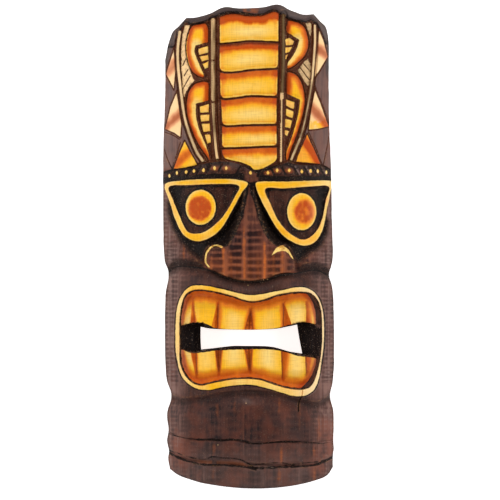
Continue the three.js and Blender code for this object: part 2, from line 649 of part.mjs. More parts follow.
function slotGeometry() {
  const shape = new THREE.Shape(slot.map(([x, y]) => new THREE.Vector2(x, y)));
  const cut = new THREE.ExtrudeGeometry(shape, { depth: 2 * CROWN_HEIGHT, bevelEnabled: false });
  return cut.translate(0, 0, -CROWN_HEIGHT / 2);
}

function notchGeometry() {
  const notch = new THREE.BoxGeometry(NOTCH_WIDTH, NOTCH_LENGTH, 2 * NOTCH_DEPTH);
  return notch.translate(0, NOTCH_TOP - NOTCH_LENGTH / 2, 0);
}

// The carving is drawn from its own centre, and is moved here to the middle of its outline's box
function maskGeometry() {
  const outline = new THREE.Box2().setFromPoints(OUTLINE.map(([x, y]) => new THREE.Vector2(x, y)));
  const { x: middleX, y: middleY } = outline.getCenter(new THREE.Vector2());
  const blank = blankGeometry().translate(-middleX, -middleY, 0);
  const mouthCut = slotGeometry().translate(-middleX, -middleY, 0);
  const cutters = [hollowGeometry(), mouthCut, notchGeometry()].map(toSolid);
  const solid = cutters.reduce((body, cutter) => body.subtract(cutter), toSolid(blank));
  const { vertProperties, triVerts } = solid.getMesh();
  const geometry = new THREE.BufferGeometry();
  geometry.setAttribute('position', new THREE.BufferAttribute(new Float32Array(vertProperties), 3));
  geometry.setIndex(new THREE.BufferAttribute(new Uint32Array(triVerts), 1));
  geometry.computeVertexNormals();
  return geometry;
}

const wood = new THREE.MeshStandardMaterial({ color: 0x5b3d33, roughness: 0.62, metalness: 0 });
const mask = new THREE.Mesh(maskGeometry(), wood);
mask.name = 'tiki_mask';

const group = new THREE.Group();
group.add(mask);

export default group;
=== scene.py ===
# %% [markdown]
# # A carved and painted tiki mask
# The real thing is one half log of soft pale wood: carved on its round side, hollowed from behind, stained
# dark brown, airbrushed yellow and orange, lined in black and varnished. So the model is one carved surface
# too: a fine mesh whose height is worked out from the same cuts that a carver makes, and whose paint
# follows those cuts. This first cell loads the fixed frame that the mask has to sit in, and notes its box.

# %% Frame and CAD box
import math

import bpy
import numpy as np
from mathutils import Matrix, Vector
from mathutils.geometry import delaunay_2d_cdt
from mathutils.kdtree import KDTree


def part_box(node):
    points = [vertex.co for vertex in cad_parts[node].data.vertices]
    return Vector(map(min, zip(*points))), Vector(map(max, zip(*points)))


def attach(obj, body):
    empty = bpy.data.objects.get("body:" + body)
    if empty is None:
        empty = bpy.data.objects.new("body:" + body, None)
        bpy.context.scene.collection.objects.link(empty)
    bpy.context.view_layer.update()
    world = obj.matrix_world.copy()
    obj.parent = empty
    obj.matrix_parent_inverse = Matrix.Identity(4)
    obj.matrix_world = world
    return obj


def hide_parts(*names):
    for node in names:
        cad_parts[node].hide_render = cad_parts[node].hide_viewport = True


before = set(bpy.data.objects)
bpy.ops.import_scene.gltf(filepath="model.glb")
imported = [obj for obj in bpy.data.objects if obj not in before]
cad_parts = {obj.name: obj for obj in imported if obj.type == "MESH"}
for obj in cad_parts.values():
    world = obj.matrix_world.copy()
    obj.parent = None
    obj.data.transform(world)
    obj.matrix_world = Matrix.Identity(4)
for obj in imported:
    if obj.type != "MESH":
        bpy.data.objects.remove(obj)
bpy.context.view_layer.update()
low, high = (np.array(corner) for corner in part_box("tiki_mask"))
MM = 0.001
print("CAD box in mm:", np.round((high - low) / MM, 1))

# %% [markdown]
# ## Small tools for cuts
# A carved mask is mostly curves with something beside them: a groove, a step, a painted edge. Everything
# here therefore starts from a smooth curve and the distance to it. The distances are measured on flat
# drawings seen from the front, in millimetres, because that is how a carver marks the log before cutting.

# %% Curves
def curve(points, step=1.2, closed=False):
    """Evenly spaced points on a smooth curve through the given ones."""
    p = np.array(points, float)
    if closed:
        ring = np.vstack([p[-1:], p, p[:2]])
    else:
        ring = np.vstack([2 * p[:1] - p[1:2], p, 2 * p[-1:] - p[-2:-1]])
    t = np.linspace(0, 1, 24, endpoint=False)[:, None]
    parts = []
    for a, b, c, d in zip(ring[:-3], ring[1:-2], ring[2:-1], ring[3:]):
        cubic = (3 * b - 3 * c + d - a) * t**3 + (2 * a - 5 * b + 4 * c - d) * t**2
        parts.append(0.5 * (cubic + (c - a) * t + 2 * b))
    line = np.vstack([*parts, p[:1] if closed else p[-1:]])
    run = np.concatenate([[0], np.cumsum(np.hypot(*np.diff(line, axis=0).T))])
    even = np.linspace(0, run[-1], max(2, round(run[-1] / step)) + 1)
    line = np.column_stack([np.interp(even, run, line[:, k]) for k in (0, 1)])
    return line[:-1] if closed else line


def curves(*paths):
    return [curve(path) for path in paths]


def straight(points, step=1.2, closed=False):
    """Evenly spaced points on straight edges between the given corners, which are all kept."""
    p = np.array(points, float)
    ends = np.vstack([p, p[:1]]) if closed else p
    parts = []
    for a, b in zip(ends[:-1], ends[1:]):
        count = max(1, round(float(np.hypot(*(b - a))) / step))
        parts.append(a + (b - a) * np.linspace(0, 1, count, endpoint=False)[:, None])
    return np.vstack(parts if closed else [*parts, p[-1:]])


square = straight([(0, 0), (10, 0), (10, 10), (0, 10)], closed=True)
print("points on the edge of a 10 mm square:", len(square))

# %% [markdown]
# A cut is a distance to a line turned into a depth. These helpers measure it, and turn it into soft steps,
# V cuts and slow random changes, which stand for the unsteady hand.

# %% Distances, steps and wandering
REACH = 14.0  # mm; distances are measured no farther
LUMPS = 97  # values on each side of the random table


def away(line, at, reach=REACH, closed=False):
    """Distance of each point from a line, no more than reach."""
    line = np.vstack([line, line[:1]]) if closed else line
    best = np.full(len(at), float(reach))
    for first in range(0, len(line) - 1, 12):
        part = line[first : first + 13]
        near = np.flatnonzero(((at > part.min(0) - reach) & (at < part.max(0) + reach)).all(1))
        start, run = part[:-1], np.diff(part, axis=0)
        rel = at[near, None] - start
        along = np.clip((rel * run).sum(2) / np.maximum((run * run).sum(1), 1e-9), 0, 1)
        gap = rel - along[..., None] * run
        best[near] = np.minimum(best[near], np.sqrt((gap**2).sum(2)).min(1))
    return best


def inside(loop, at):
    """Which points lie inside a closed loop."""
    near = np.flatnonzero(((at > loop.min(0)) & (at < loop.max(0))).all(1))
    x, y = at[near].T
    odd = np.zeros(len(near), bool)
    for (ax, ay), (bx, by) in zip(loop, np.roll(loop, 1, axis=0)):
        if ay != by:
            odd ^= ((ay > y) != (by > y)) & (x < (bx - ax) * (y - ay) / (by - ay) + ax)
    within = np.zeros(len(at), bool)
    within[near[odd]] = True
    return within


def depth_in(loop, at, reach=REACH):
    """Distance to a closed loop, positive inside it."""
    return np.where(inside(loop, at), 1, -1) * away(loop, at, reach, True)


def ramp(value, start, end):
    """0 at start, 1 at end, with a soft beginning and end."""
    t = np.clip((value - start) / (end - start), 0, 1)
    return t * t * (3 - 2 * t)


def fall(distance, width):
    """1 at no distance, 0 at width and beyond."""
    return 1 - ramp(distance, 0, width)


def groove(distance, half, depth):
    """Depth of a V cut."""
    return depth * np.maximum(0, 1 - distance / half)


def mix(a, b, share):
    """a where share is 0, b where it is 1."""
    return a + (b - a) * share


def height_at(line, x):
    """Height of a curve that runs from left to right."""
    return np.interp(x, line[:, 0], line[:, 1])


def x_along(line, y):
    """Sideways place of a curve that runs from top to bottom."""
    return np.interp(-y, -line[:, 1], line[:, 0])


def wander(at, size, seed, tall=1.0):
    """A smooth random field from -1 to 1 whose lumps are size wide and tall times as high."""
    table = np.random.default_rng(seed).uniform(-1, 1, (LUMPS, LUMPS))
    place = at / (size * np.array([1.0, tall])) + 500
    cell = np.floor(place).astype(int)
    f = place - cell
    f = f * f * (3 - 2 * f)
    i, j = (cell % LUMPS).T
    upper, right = (j + 1) % LUMPS, (i + 1) % LUMPS
    lower_row = mix(table[i, j], table[right, j], f[:, 0])
    upper_row = mix(table[i, upper], table[right, upper], f[:, 0])
    return mix(lower_row, upper_row, f[:, 1])


circle = curve([(10, 0), (0, 10), (-10, 0), (0, -10)], 1, True)
print("a 10 mm circle's middle is", depth_in(circle, np.zeros((1, 2)))[0].round(2), "mm deep")

# %% [markdown]
# ## The drawing
# These are the lines that the carver follows, in millimetres from the middle of the face, +X to the right
# and +Y up. The outline is drawn as curves that meet at corners. A line is kept as a short list of points
# that a smooth curve passes through, because that is easy to read and to correct.

# %% Outline and headdress lines
SIDE_LEFT = [
    (-81.5, -231), (-83.5, -219.5), (-82.5, -211.5), (-84.5, -201), (-83, -189.5), (-84.5, -173),
    (-80, -154.5), (-85, -138), (-86.5, -112.5), (-86.5, -55.5), (-83, -29.5), (-87.5, -11.5),
    (-88.5, 27), (-88.5, 99), (-86.5, 161), (-86.5, 192),
]
SHOULDER_LEFT = [(-86.5, 192), (-83.5, 208.5), (-78.5, 221.5), (-72.5, 227.5), (-64.5, 236)]
TOP_EDGE = [
    (-64.5, 236), (-53, 236.5), (-39.5, 240.5), (-29.5, 245.5), (-22, 247), (-9, 245.5), (14, 246.5),
    (30.5, 249.5), (43, 244), (56, 239.5), (67.5, 240),
]
SHOULDER_RIGHT = [(67.5, 240), (73.5, 233.5), (80.5, 226), (83, 212.5), (83.2, 192)]
SIDE_RIGHT = [
    (83.2, 192), (83.5, 135), (85.5, 83.5), (86.6, 27), (87.5, -11.5), (83.6, -30), (87.5, -46.5),
    (88.7, -86.5), (88.6, -125), (87, -142.5), (84.5, -155.5), (88, -171), (88.5, -187.5), (88, -201),
    (88.5, -209.5), (87.5, -217.5), (87.5, -229),
]
FOOT_EDGE = [
    (87.5, -229), (79, -239), (53, -246.5), (22, -250), (-9, -250), (-45, -245.5), (-70.5, -238),
    (-81.5, -231),
]
edges = [SIDE_LEFT, SHOULDER_LEFT, TOP_EDGE, SHOULDER_RIGHT, SIDE_RIGHT, FOOT_EDGE]
outline = np.vstack([curve(edge, 1.25)[:-1] for edge in edges])[::-1]

border = curve([
    (-77.5, 205), (-73.5, 216.5), (-66.5, 229), (-58.5, 228.5), (-48, 230), (-30.5, 237), (-22, 239.5),
    (-12, 240), (-1.5, 238), (14, 238.5), (27.5, 242.5), (38.5, 235), (57, 230.5), (65.5, 232.5),
    (73.5, 223.5), (80, 208.5),
])
column_left = curve([(-30.5, 238), (-30.5, 171), (-28.5, 132), (-28.5, 94)])
column_right = curve([(32, 241.5), (31, 171), (30, 140), (30.5, 88)])
cushion_lines = curves(
    [(-30.5, 208.4), (-14, 209.8), (1.5, 211.3), (17, 210.8), (31.5, 210)],
    [(-30.5, 180.5), (-23, 179), (-11, 179.5), (3.5, 181.5), (31, 183)],
    [(-29.5, 152.5), (-23, 151.5), (-9, 153), (3.5, 154.5), (30.5, 153.5)],
    [(-28.5, 125), (-21, 123.4), (-3.5, 124.4), (30.5, 125)],
    [(-28.5, 100.6), (-9, 101), (10, 102), (30.5, 102.6)],
)
tongue = curve([(-28.5, 94), (-23, 89), (-9, 85.5), (1.5, 81.5), (6, 77.5), (17, 80), (30.5, 88)])
sticks = curves(
    [(-36.5, 233), (-36.5, 171), (-36, 135), (-34, 104), (-32, 88.5)],
    [(36, 238), (36, 192), (34.5, 150.5), (34, 87.5)],
)
HORNS = [
    ([(-41, 210), (-41, 223.5), (-44, 230), (-51, 229.5), (-58.5, 227.5), (-63, 218.5), (-65, 206),
      (-63.5, 192), (-59.5, 181.5), (-53, 175.5), (-46.5, 173)],
     [(-46.5, 173), (-45.5, 177), (-49, 185.5), (-52.5, 193.5), (-55, 201), (-54, 206.5)]),
    ([(-40.5, 149.5), (-40.5, 167), (-43.5, 170), (-49, 170), (-56, 167.5), (-62, 160), (-64.5, 147.5),
      (-63.5, 134), (-58.9, 119.5), (-52.6, 105.5), (-44.8, 94), (-41.2, 88.2), (-38.8, 87.5)],
     [(-38.8, 87.5), (-41.2, 98), (-46, 110.5), (-50.5, 121.5), (-53.5, 135), (-53.5, 146.5)]),
    ([(38.5, 220.5), (38.5, 227), (40.5, 233), (47, 232.5), (54, 230), (59.5, 223.5), (62.5, 209.5),
      (59.5, 198), (52, 189.5), (45, 184), (39, 182)],
     [(39, 182), (40, 189.5), (44.5, 196), (48.5, 203), (51.5, 212.5)]),
    ([(38.5, 157), (38.5, 175.5), (41, 180), (49, 177.5), (55, 169.5), (58.5, 155.5), (58, 142.5),
      (53.2, 123.5), (48.4, 109.5), (43.6, 97), (41, 88.3), (38.2, 87.3)],
     [(38.2, 87.3), (38.4, 97), (42.4, 108.5), (46.9, 122.5), (50.6, 137), (52.4, 150.5)]),
]
strips = curves(
    [(-71, 221.5), (-73, 206), (-73, 189.5), (-71, 169), (-65.5, 131), (-55, 100.5), (-47, 87.5)],
    [(68.5, 228), (68.5, 207), (65, 167), (58.5, 131), (53.5, 112.5), (43, 86.5)],
)
print("outline:", len(outline), "points,", len(HORNS), "horns,", len(cushion_lines) + 1, "cushions")

# %% [markdown]
# Within those lines lie the small parts: sunk combs with raised cells beside the horns, hatched patches,
# and triangles with a stripe each. They are straight-edged, because a knife made them.

# %% Small parts of the headdress
STICK_LINE = 3.9
column = np.vstack([
    column_left[::-1], border[(border[:, 0] > -30.5) & (border[:, 0] < 32)], column_right, tongue[::-1],
])
horn_backs = [curve(outer) for outer, _ in HORNS]
horn_fronts = [curve(inner) for _, inner in HORNS]
horn_loops = [np.vstack([back, front[1:]]) for back, front in zip(horn_backs, horn_fronts)]
comb_loops = []
for number, front in enumerate(horn_fronts):
    stick, way = (sticks[0], -1) if number < 2 else (sticks[1], 1)
    beside = stick[(stick[:, 1] < front[-1, 1] + 4) & (stick[:, 1] > front[0, 1])]
    comb_loops.append(np.vstack([front, beside + [way * STICK_LINE, 0]]))

CELLS = [
    [(-52, 203.5), (-42, 206.5), (-41.5, 199.5), (-51, 197.5)],
    [(-50.5, 195.5), (-41.5, 197.5), (-41.5, 192.5), (-48, 190.5)],
    [(-47.5, 188), (-41.5, 190.5), (-41.5, 184.5), (-45, 183)],
    [(-50.5, 144), (-41, 146.5), (-41, 138), (-50, 137.5)],
    [(-50, 135.5), (-40.5, 135.5), (-40.5, 129), (-49, 128.5)],
    [(-48.5, 126), (-40, 126.5), (-39.5, 118.5), (-46.5, 117.5)],
    [(-45.5, 115), (-39.5, 115.5), (-39, 107), (-42.5, 105.5)],
    [(38, 213.5), (42, 215), (47, 211.5), (45.5, 207.5), (38.5, 207)],
    [(38, 205), (45, 205.5), (42.5, 200.5), (38, 199)],
    [(38, 197), (41, 198), (39, 193.5), (38, 192)],
    [(38.5, 151.5), (47.5, 148.5), (47, 141), (38.5, 145)],
    [(38.5, 142), (46.5, 139), (45.5, 132), (38.5, 134.5)],
    [(38, 131.5), (45, 129.5), (43, 121.5), (37.5, 123)],
    [(37.5, 120), (42, 118.5), (40, 113.5), (37.5, 114.5)],
]
HATCHED = [
    [(-60.5, 228.5), (-66, 228), (-68.5, 217.5), (-69.5, 202), (-69.5, 181.5), (-68, 161), (-66.5, 153.5),
     (-64.5, 159), (-60.5, 166), (-56, 171), (-59.5, 179.5), (-63.5, 192), (-65, 202), (-64.5, 212.5)],
    [(58.5, 230), (64.5, 231), (65, 222.5), (64.5, 214.5), (61.5, 222.5)],
    [(61.5, 194.5), (64.5, 189.5), (64.5, 176.5), (62.5, 166), (61, 165), (56, 173), (52, 179.5), (51, 182),
     (55, 187.5)],
]
HATCH_LINES = [
    [(-62.5, 182.5), (-66.5, 176)], [(-60.5, 175.5), (-67.5, 163)], [(-64.5, 194), (-68, 186.5)],
    [(61.5, 194), (64.5, 186.5)], [(56.5, 188.5), (64.5, 179.5)], [(53, 184.5), (62.5, 172)],
]
TRIANGLES = [
    [(-77, 206), (-86, 178), (-77, 161), (-75, 181.5)],
    [(-74, 161), (-81, 144.5), (-87, 121), (-77, 116.5), (-70, 111.5), (-69, 126)],
    [(72.5, 226), (78, 212.5), (82.5, 196), (74, 181.5), (67.5, 172), (70, 197)],
    [(68.5, 163), (76, 144.5), (83.5, 123.5), (71.5, 120.5), (61.5, 119.5), (64, 140)],
    [(-66, 109.5), (-72, 96), (-78.5, 79), (-65.5, 80.5), (-52, 83.5), (-58.5, 95)],
    [(60.5, 116.5), (68.5, 99.5), (75.5, 84), (61.5, 85.5), (48, 86.5), (54, 102)],
]
TRIANGLE_STRIPES = [
    [(-85.5, 178.5), (-75.5, 188.5)], [(-86.5, 122.5), (-69.5, 137)], [(82, 197), (69.5, 206)],
    [(83, 123.5), (64.5, 143.5)], [(-78, 82.5), (-59.5, 98)], [(75.5, 85), (56, 109.5)],
]
SIDE_LINES = [
    [(-88, 103), (-84, 90.5), (-79, 79.5)], [(-70.5, 107), (-74.5, 94), (-79, 81.5)],
    [(-87, 118), (-79, 115), (-71.5, 110.5)], [(67.5, 168), (71.5, 159), (78, 142.5), (83.5, 127)],
    [(61.5, 118.5), (67.5, 106), (72.5, 94), (77, 81.5)],
    [(83.5, 116.5), (81.5, 104), (79, 92), (77, 82.5)],
    [(71.5, 228), (70.5, 212.5), (69.5, 197), (68.5, 186.5), (67, 176.5), (65.5, 169)],
]
cells = [straight(cell, 0.9, True) for cell in CELLS]
hatched = [straight(patch, 1, True) for patch in HATCHED]
hatch_lines = [straight(line, 0.9) for line in HATCH_LINES]
triangles = [straight(corners, 1, True) for corners in TRIANGLES]
stripes = [straight(line, 2) for line in TRIANGLE_STRIPES]
side_lines = [curve(line, 1) for line in SIDE_LINES]
print("comb cells:", len(cells), "triangles:", len(triangles))

# %% [markdown]
# ## Brows, eyes, nose, mouth and chin
# The same kind of list carries the face. Each eye has an outer and an inner edge of its rim, the dark
# socket round it and a pupil; the mouth has the painted rim, two rows of teeth, the wedges between them and
# the slot cut through.

# %% Brow and eye lines
NOSE_X = 2  # the nose stands a little right of the middle
brows = curves(
    [(-86, 76.5), (-70.5, 80), (-58.5, 82), (-47, 86), (-35.5, 88.5), (-21, 88.5), (-9, 85.5), (5.5, 78)],
    [(7.5, 76.5), (20, 79.5), (30.5, 83.5), (40.5, 88), (50, 85.5), (72.5, 84), (85, 78)],
)
brow_line = np.vstack(brows)
brow_foot = curve([(-88, 69.5), (-65.5, 71), (-39.5, 72), (0, 72.5), (37.5, 70), (86, 70.5)])
left_end, right_end = strips[0][-1, 0], strips[1][-1, 0]
field = np.vstack([
    strips[0][::-1],
    border[(border[:, 0] > -71) & (border[:, 0] < 68.5)],
    strips[1],
    brow_line[(brow_line[:, 0] > left_end) & (brow_line[:, 0] < right_end)][::-1],
])
BROW_DOTS = [
    (-82, 72.5), (-74, 75.5), (-64.5, 76.5), (-56.5, 77.5), (-46.5, 78.5), (-35, 80.5), (-23, 80.5),
    (2, 75.5), (20, 75.5), (29.5, 78), (42, 78), (55, 77), (64, 77.5), (71.5, 77.5), (80.5, 76.5),
]
# Slanted notches cut across the brows, one between each two dots
brow_notches = []
for left, right in zip(np.array(BROW_DOTS[:-1]), np.array(BROW_DOTS[1:])):
    middle = (left + right) / 2
    lean = -2.2 if left[0] > NOSE_X else 2.2
    brow_notches.append(straight([middle - (lean, 3.6), middle + (lean, 4.4)], 1))
EYE_RIMS = [
    [(-86.5, 63.5), (-70.5, 67.5), (-45, 69), (-17, 69), (-1, 65), (-7.4, 54.5), (-17.4, 36), (-28, 18.5),
     (-39.5, 9), (-53, 5), (-66.5, 11), (-75.5, 27), (-81, 44.5)],
    [(86, 67), (63.5, 67.5), (37.5, 66.5), (14, 66.5), (7.3, 64), (11.2, 51.5), (18.9, 36), (30.2, 17),
     (42.2, 6), (57, 0.5), (69.5, 5), (77, 18.5), (81.5, 40), (85, 57.5)],
]
EYEBALLS = [
    [(-82, 61.5), (-60.5, 63), (-34.5, 64), (-10.5, 62.5), (-14.5, 50), (-26, 31), (-39.3, 18.3), (-51, 13),
     (-63.5, 15.5), (-72.5, 34), (-78, 47.5)],
    [(83, 61.5), (63.5, 61.5), (37.5, 59.5), (17.5, 59), (22.7, 43.5), (31, 26), (42.8, 13), (57, 6.5),
     (69.5, 14.5), (76.5, 29), (80, 47.5)],
]
SOCKETS = [
    [(-87, 45.5), (-82, 24.5), (-74, 6.5), (-62.5, -6.5), (-47, -18), (-40, -3.5), (-23, -1), (-16, 9.5),
     (-7.5, 31), (-2.5, 51.5), (-0.5, 65)],
    [(1.5, 64), (4.5, 51.5), (11, 31), (19, 10.5), (28.5, -1), (39, -2.5), (49, -19), (63.5, -9.5),
     (74.5, -2.5), (82, 10.5), (85, 26)],
]
# Each pupil: middle and half sizes of the yellow ring, then of the orange disc in it
PUPILS = [
    ((-49.5, 40), (15.6, 18), (-50.5, 39), (11.4, 12.4)),
    ((55, 35.5), (15, 19), (57.6, 35.2), (11.2, 13.5)),
]
SOCKET_CORNERS = [-82, 84]
EYE_CENTRES = [ring_middle for ring_middle, *_ in PUPILS]
rims = [curve(rim, closed=True) for rim in EYE_RIMS]
balls = [curve(ball, closed=True) for ball in EYEBALLS]
socket_lines = [curve(socket) for socket in SOCKETS]
sockets = [np.vstack([line, [(x, 69.5)]]) for line, (x, _) in zip(socket_lines, EYE_CENTRES)]
print("brow dots:", len(BROW_DOTS), "eyes:", len(rims))

# %% [markdown]
# The nose ends in two nostril wings over a long wavy cut. Below the mouth a valley parts lip and chin, and
# three cuts cross the chin. Their black lines lie in and beside them, for the brush seldom met the cut.

# %% Nose and chin lines
nostrils = curves(
    [(-27.5, -1), (-33.5, 0.5), (-40, -3), (-44, -10), (-43.5, -17.5), (-41, -23)],
    [(30, -3.5), (35.5, -1.5), (42, -5.5), (46.5, -14), (47.5, -24)],
)
nostril_arc = curve([
    (-27.5, -1), (-32.5, 0.5), (-37.5, -0.5), (-40.5, -3), (-43.5, -8), (-44.5, -13.5), (-44, -17.5),
    (-41, -21.5),
], 0.8)
nostril_crescent = np.vstack([
    curve([(24, -9.5), (28.5, -2.5), (32.5, 0), (35.5, 0.5), (38.5, -1.5), (42, -5), (45, -10.5),
           (46.5, -14)], 0.8),
    curve([(44, -11.5), (40.5, -7), (37.5, -5), (33.5, -5), (29.5, -6)], 0.8),
])
lip_line = curve([
    (-87, -32), (-76, -22), (-60.5, -21.5), (-42, -24.5), (-21, -33.5), (-1.5, -37), (17, -35.5),
    (32.5, -30), (50, -28), (69.5, -25), (87, -33),
])
valley = curve([
    (-86, -152), (-70.5, -160), (-50, -158.5), (-27.5, -154), (1.5, -151.5), (27.5, -154), (53, -161),
    (71.5, -164), (88, -154),
])
# Cuts across the chin: each one's path, half width and depth
CHIN_LINES = [
    ([(-86, -190.5), (-70.5, -197.5), (-50, -200.5), (-17, -200.5), (4.5, -204), (34.5, -202.5),
      (65.5, -203.5), (90, -200.5)], 1.6, 1.8),
    ([(-86, -210.5), (-65.5, -220), (-39.5, -223.5), (-11, -225.5), (9, -229.5)], 2.8, 3.2),
    ([(-3.5, -225), (22, -226), (65.5, -226), (80, -221), (90, -215)], 2.4, 2.8),
]
chin_lines = [(curve(path), half, depth) for path, half, depth in CHIN_LINES]
# Black lines in and beside those cuts: each one's path and half width
CHIN_INK = [
    ([(-83, -194), (-70.5, -197.5), (-50, -200), (-39.5, -199.5), (-27.5, -200.5), (-17, -199.5),
      (-6.5, -200.5), (1.5, -203), (12, -204), (20, -203), (32.5, -202), (53, -202), (73.5, -204),
      (86, -203)], 0.45),
    ([(-52, -200), (-39.5, -199.5), (-27.5, -200.5), (-17, -199.5), (-6.5, -200.5), (0, -202.5)], 1.0),
    ([(18, -203.2), (32.5, -202), (53, -202)], 0.85),
    ([(-84, -210.5), (-65.5, -216.5), (-50, -220.5), (-43, -219.5), (-37.5, -217.5), (-27.5, -218.5),
      (-13, -219.5), (-5.5, -221.5), (1.5, -225.5), (6.5, -229.5)], 0.65),
    ([(-84, -213.5), (-65.5, -221.5), (-50, -225), (-37.5, -226), (-25.5, -226), (-13, -227), (-2.5, -228),
      (7.5, -231)], 1.05),
    ([(4.5, -226), (22, -224), (32.5, -223.5), (45, -225), (63.5, -223.5), (73.5, -222.5),
      (84, -219.5)], 0.5),
    ([(6, -229), (22, -228.5), (32.5, -228), (58, -227.5), (69.5, -226), (79, -222.5), (87, -218.5)], 1.15),
]
chin_ink = [(curve(path), half) for path, half in CHIN_INK]
print("chin cuts:", len(chin_lines), "chin lines:", len(chin_ink))

# %% [markdown]
# The mouth is a rim round two gums. The teeth are one row above and one below, parted by wedges rather than
# drawn one by one, which is how they were cut.

# %% Mouth lines
mouth_outer = curve([
    (-75.5, -97), (-75, -74), (-71.5, -55.5), (-62.5, -43.5), (-50, -40.5), (-29.5, -44), (-9, -49),
    (7.5, -50.5), (32.5, -46), (55, -42.5), (69.5, -49.5), (77, -66), (78.5, -92), (76.5, -115.5),
    (70.5, -143.5), (60.5, -153.5), (46, -154.5), (22, -147.5), (1.5, -143), (-21, -144.5), (-42, -148.5),
    (-56, -146), (-68, -136), (-74.5, -117.5),
], closed=True)
mouth = curve([
    (-71.5, -95), (-71, -71), (-66.5, -52.5), (-57, -45.5), (-42, -45.5), (-21, -50), (-0.5, -56.5),
    (14, -55.5), (32.5, -49.5), (55, -47), (67.5, -51), (74.5, -65), (76, -92), (73.5, -119.5),
    (66, -143), (53, -148.5), (32.5, -145), (10, -138), (-13, -137.5), (-34.5, -141), (-51, -144),
    (-63.5, -136.5), (-70.5, -121.5),
], closed=True)
upper_teeth = curve([
    (-70, -82.5), (-60.5, -79.7), (-53, -79), (-47, -79.3), (-39.5, -82), (-34.5, -84.5), (-17, -86),
    (7.5, -86.2), (27.5, -84.8), (43, -81), (52, -79), (60, -79), (74, -82),
])
lower_teeth = curve([
    (-70, -105), (-58.5, -109), (-45, -108), (-29.5, -106), (1.5, -105), (24, -105.3), (38, -108),
    (47, -110.8), (55, -112.6), (63, -113.4), (72, -115),
])
teeth_right = curve([
    (50, -44), (59.3, -49), (65, -55.7), (68.6, -66), (69.8, -78), (70.3, -96), (70.3, -114), (69.2, -123),
    (65.5, -133), (59.3, -142), (50, -150),
])
upper_gum = curve([
    (-69.5, -81.5), (-66.5, -67), (-61, -56), (-51, -51), (-35.5, -52.5), (-15, -57.5), (3.5, -59.5),
    (24, -56.5), (45, -51), (59.5, -51), (66, -60), (69.5, -78.5),
])
lower_gum = curve([
    (-68.5, -108.5), (-65, -122.5), (-59, -135.5), (-48, -138.5), (-27.5, -135), (-3.5, -133.5),
    (17, -136), (36.5, -142.5), (50, -145), (60.5, -139), (67, -127), (69.5, -118.5),
])
SLOT_SIDES = [
    [(-49.6, -83.6), (-39.5, -85.3), (-29.4, -85.9), (-13.9, -86.3), (1.5, -86.5), (17, -86.1),
     (30.4, -85.2), (37.6, -83.8), (50.2, -81.3)],
    [(50.2, -81.3), (52.4, -95), (55.5, -111.3)],
    [(55.5, -111.3), (43, -109.2), (36.6, -107.4), (29.4, -105.2), (22, -103.8), (11.9, -103.2),
     (-2.6, -103.1), (-17, -103.2), (-34.5, -105.3), (-49, -107)],
    [(-49, -107), (-49.6, -96), (-49.6, -83.6)],
]
slot = np.vstack([curve(path, 1.1)[:-1] for path in SLOT_SIDES])
# Each wedge between two teeth: where it starts at the gum, where it meets the slot, its half width there,
# its deepest side (-1 left, 1 right, 0 middle) and how far orange mist reaches beyond it to left and right
WEDGES = [
    ((-58, -54), (-57.2, -80), 2.5, 1, 1.0, 2.0), ((-31.5, -57), (-35, -86), 3.8, 1, 1.2, 8.0),
    ((2.5, -63), (0.5, -86.5), 4.6, 0, 6.5, 7.0), ((36.3, -58), (40, -83), 4.9, -1, 7.5, 1.0),
    ((60.3, -56), (61.3, -79), 1.7, -1, 1.0, 6.0), ((-53.6, -138), (-56.6, -109), 3.0, 1, 1.0, 3.0),
    ((-30.4, -135), (-31.1, -106), 3.6, 0, 2.5, 3.0), ((1.5, -133), (0.2, -105), 4.2, 0, 3.0, 3.0),
    ((35, -141), (37.2, -108), 3.4, -1, 1.2, 7.5), ((59.8, -139), (61.6, -114), 2.8, -1, 1.0, 5.0),
]
WEDGE_LEAN = 0.7  # how far towards that side a wedge's bottom lies
ROW_PARTING = -95  # height between the two rows of teeth
split = curve([(55.5, -147.5), (55, -154.5), (52, -161), (51.5, -171)], 0.8)
print("teeth wedges:", len(WEDGES), "slot ring:", len(slot), "points")

# %% [markdown]
# ## Depth of the carving
# The log's face is part of a cylinder. Every feature is a depth below that round surface, so the mask keeps
# its curve from side to side while each cut follows it. The depths are those of the CAD solid, with the
# finer things added that a chisel leaves: rows of shallow gouge cuts, raised cells in the combs, notches in
# the brows, grooves round the triangles, thick paint on the rims and the drying split below the mouth.

# %% Log and headdress
HALF_WIDTH, CROWN_HEIGHT, SIDE_HEIGHT = 88.7, 62.0, 9.0
LOG_RISE = CROWN_HEIGHT - SIDE_HEIGHT
LOG_RADIUS = (HALF_WIDTH**2 + LOG_RISE**2) / (2 * LOG_RISE)
LOG_AXIS = CROWN_HEIGHT - LOG_RADIUS
STEP_WIDTH = 1.4
LINE_HALF, LINE_DEPTH = 1.9, 3.4


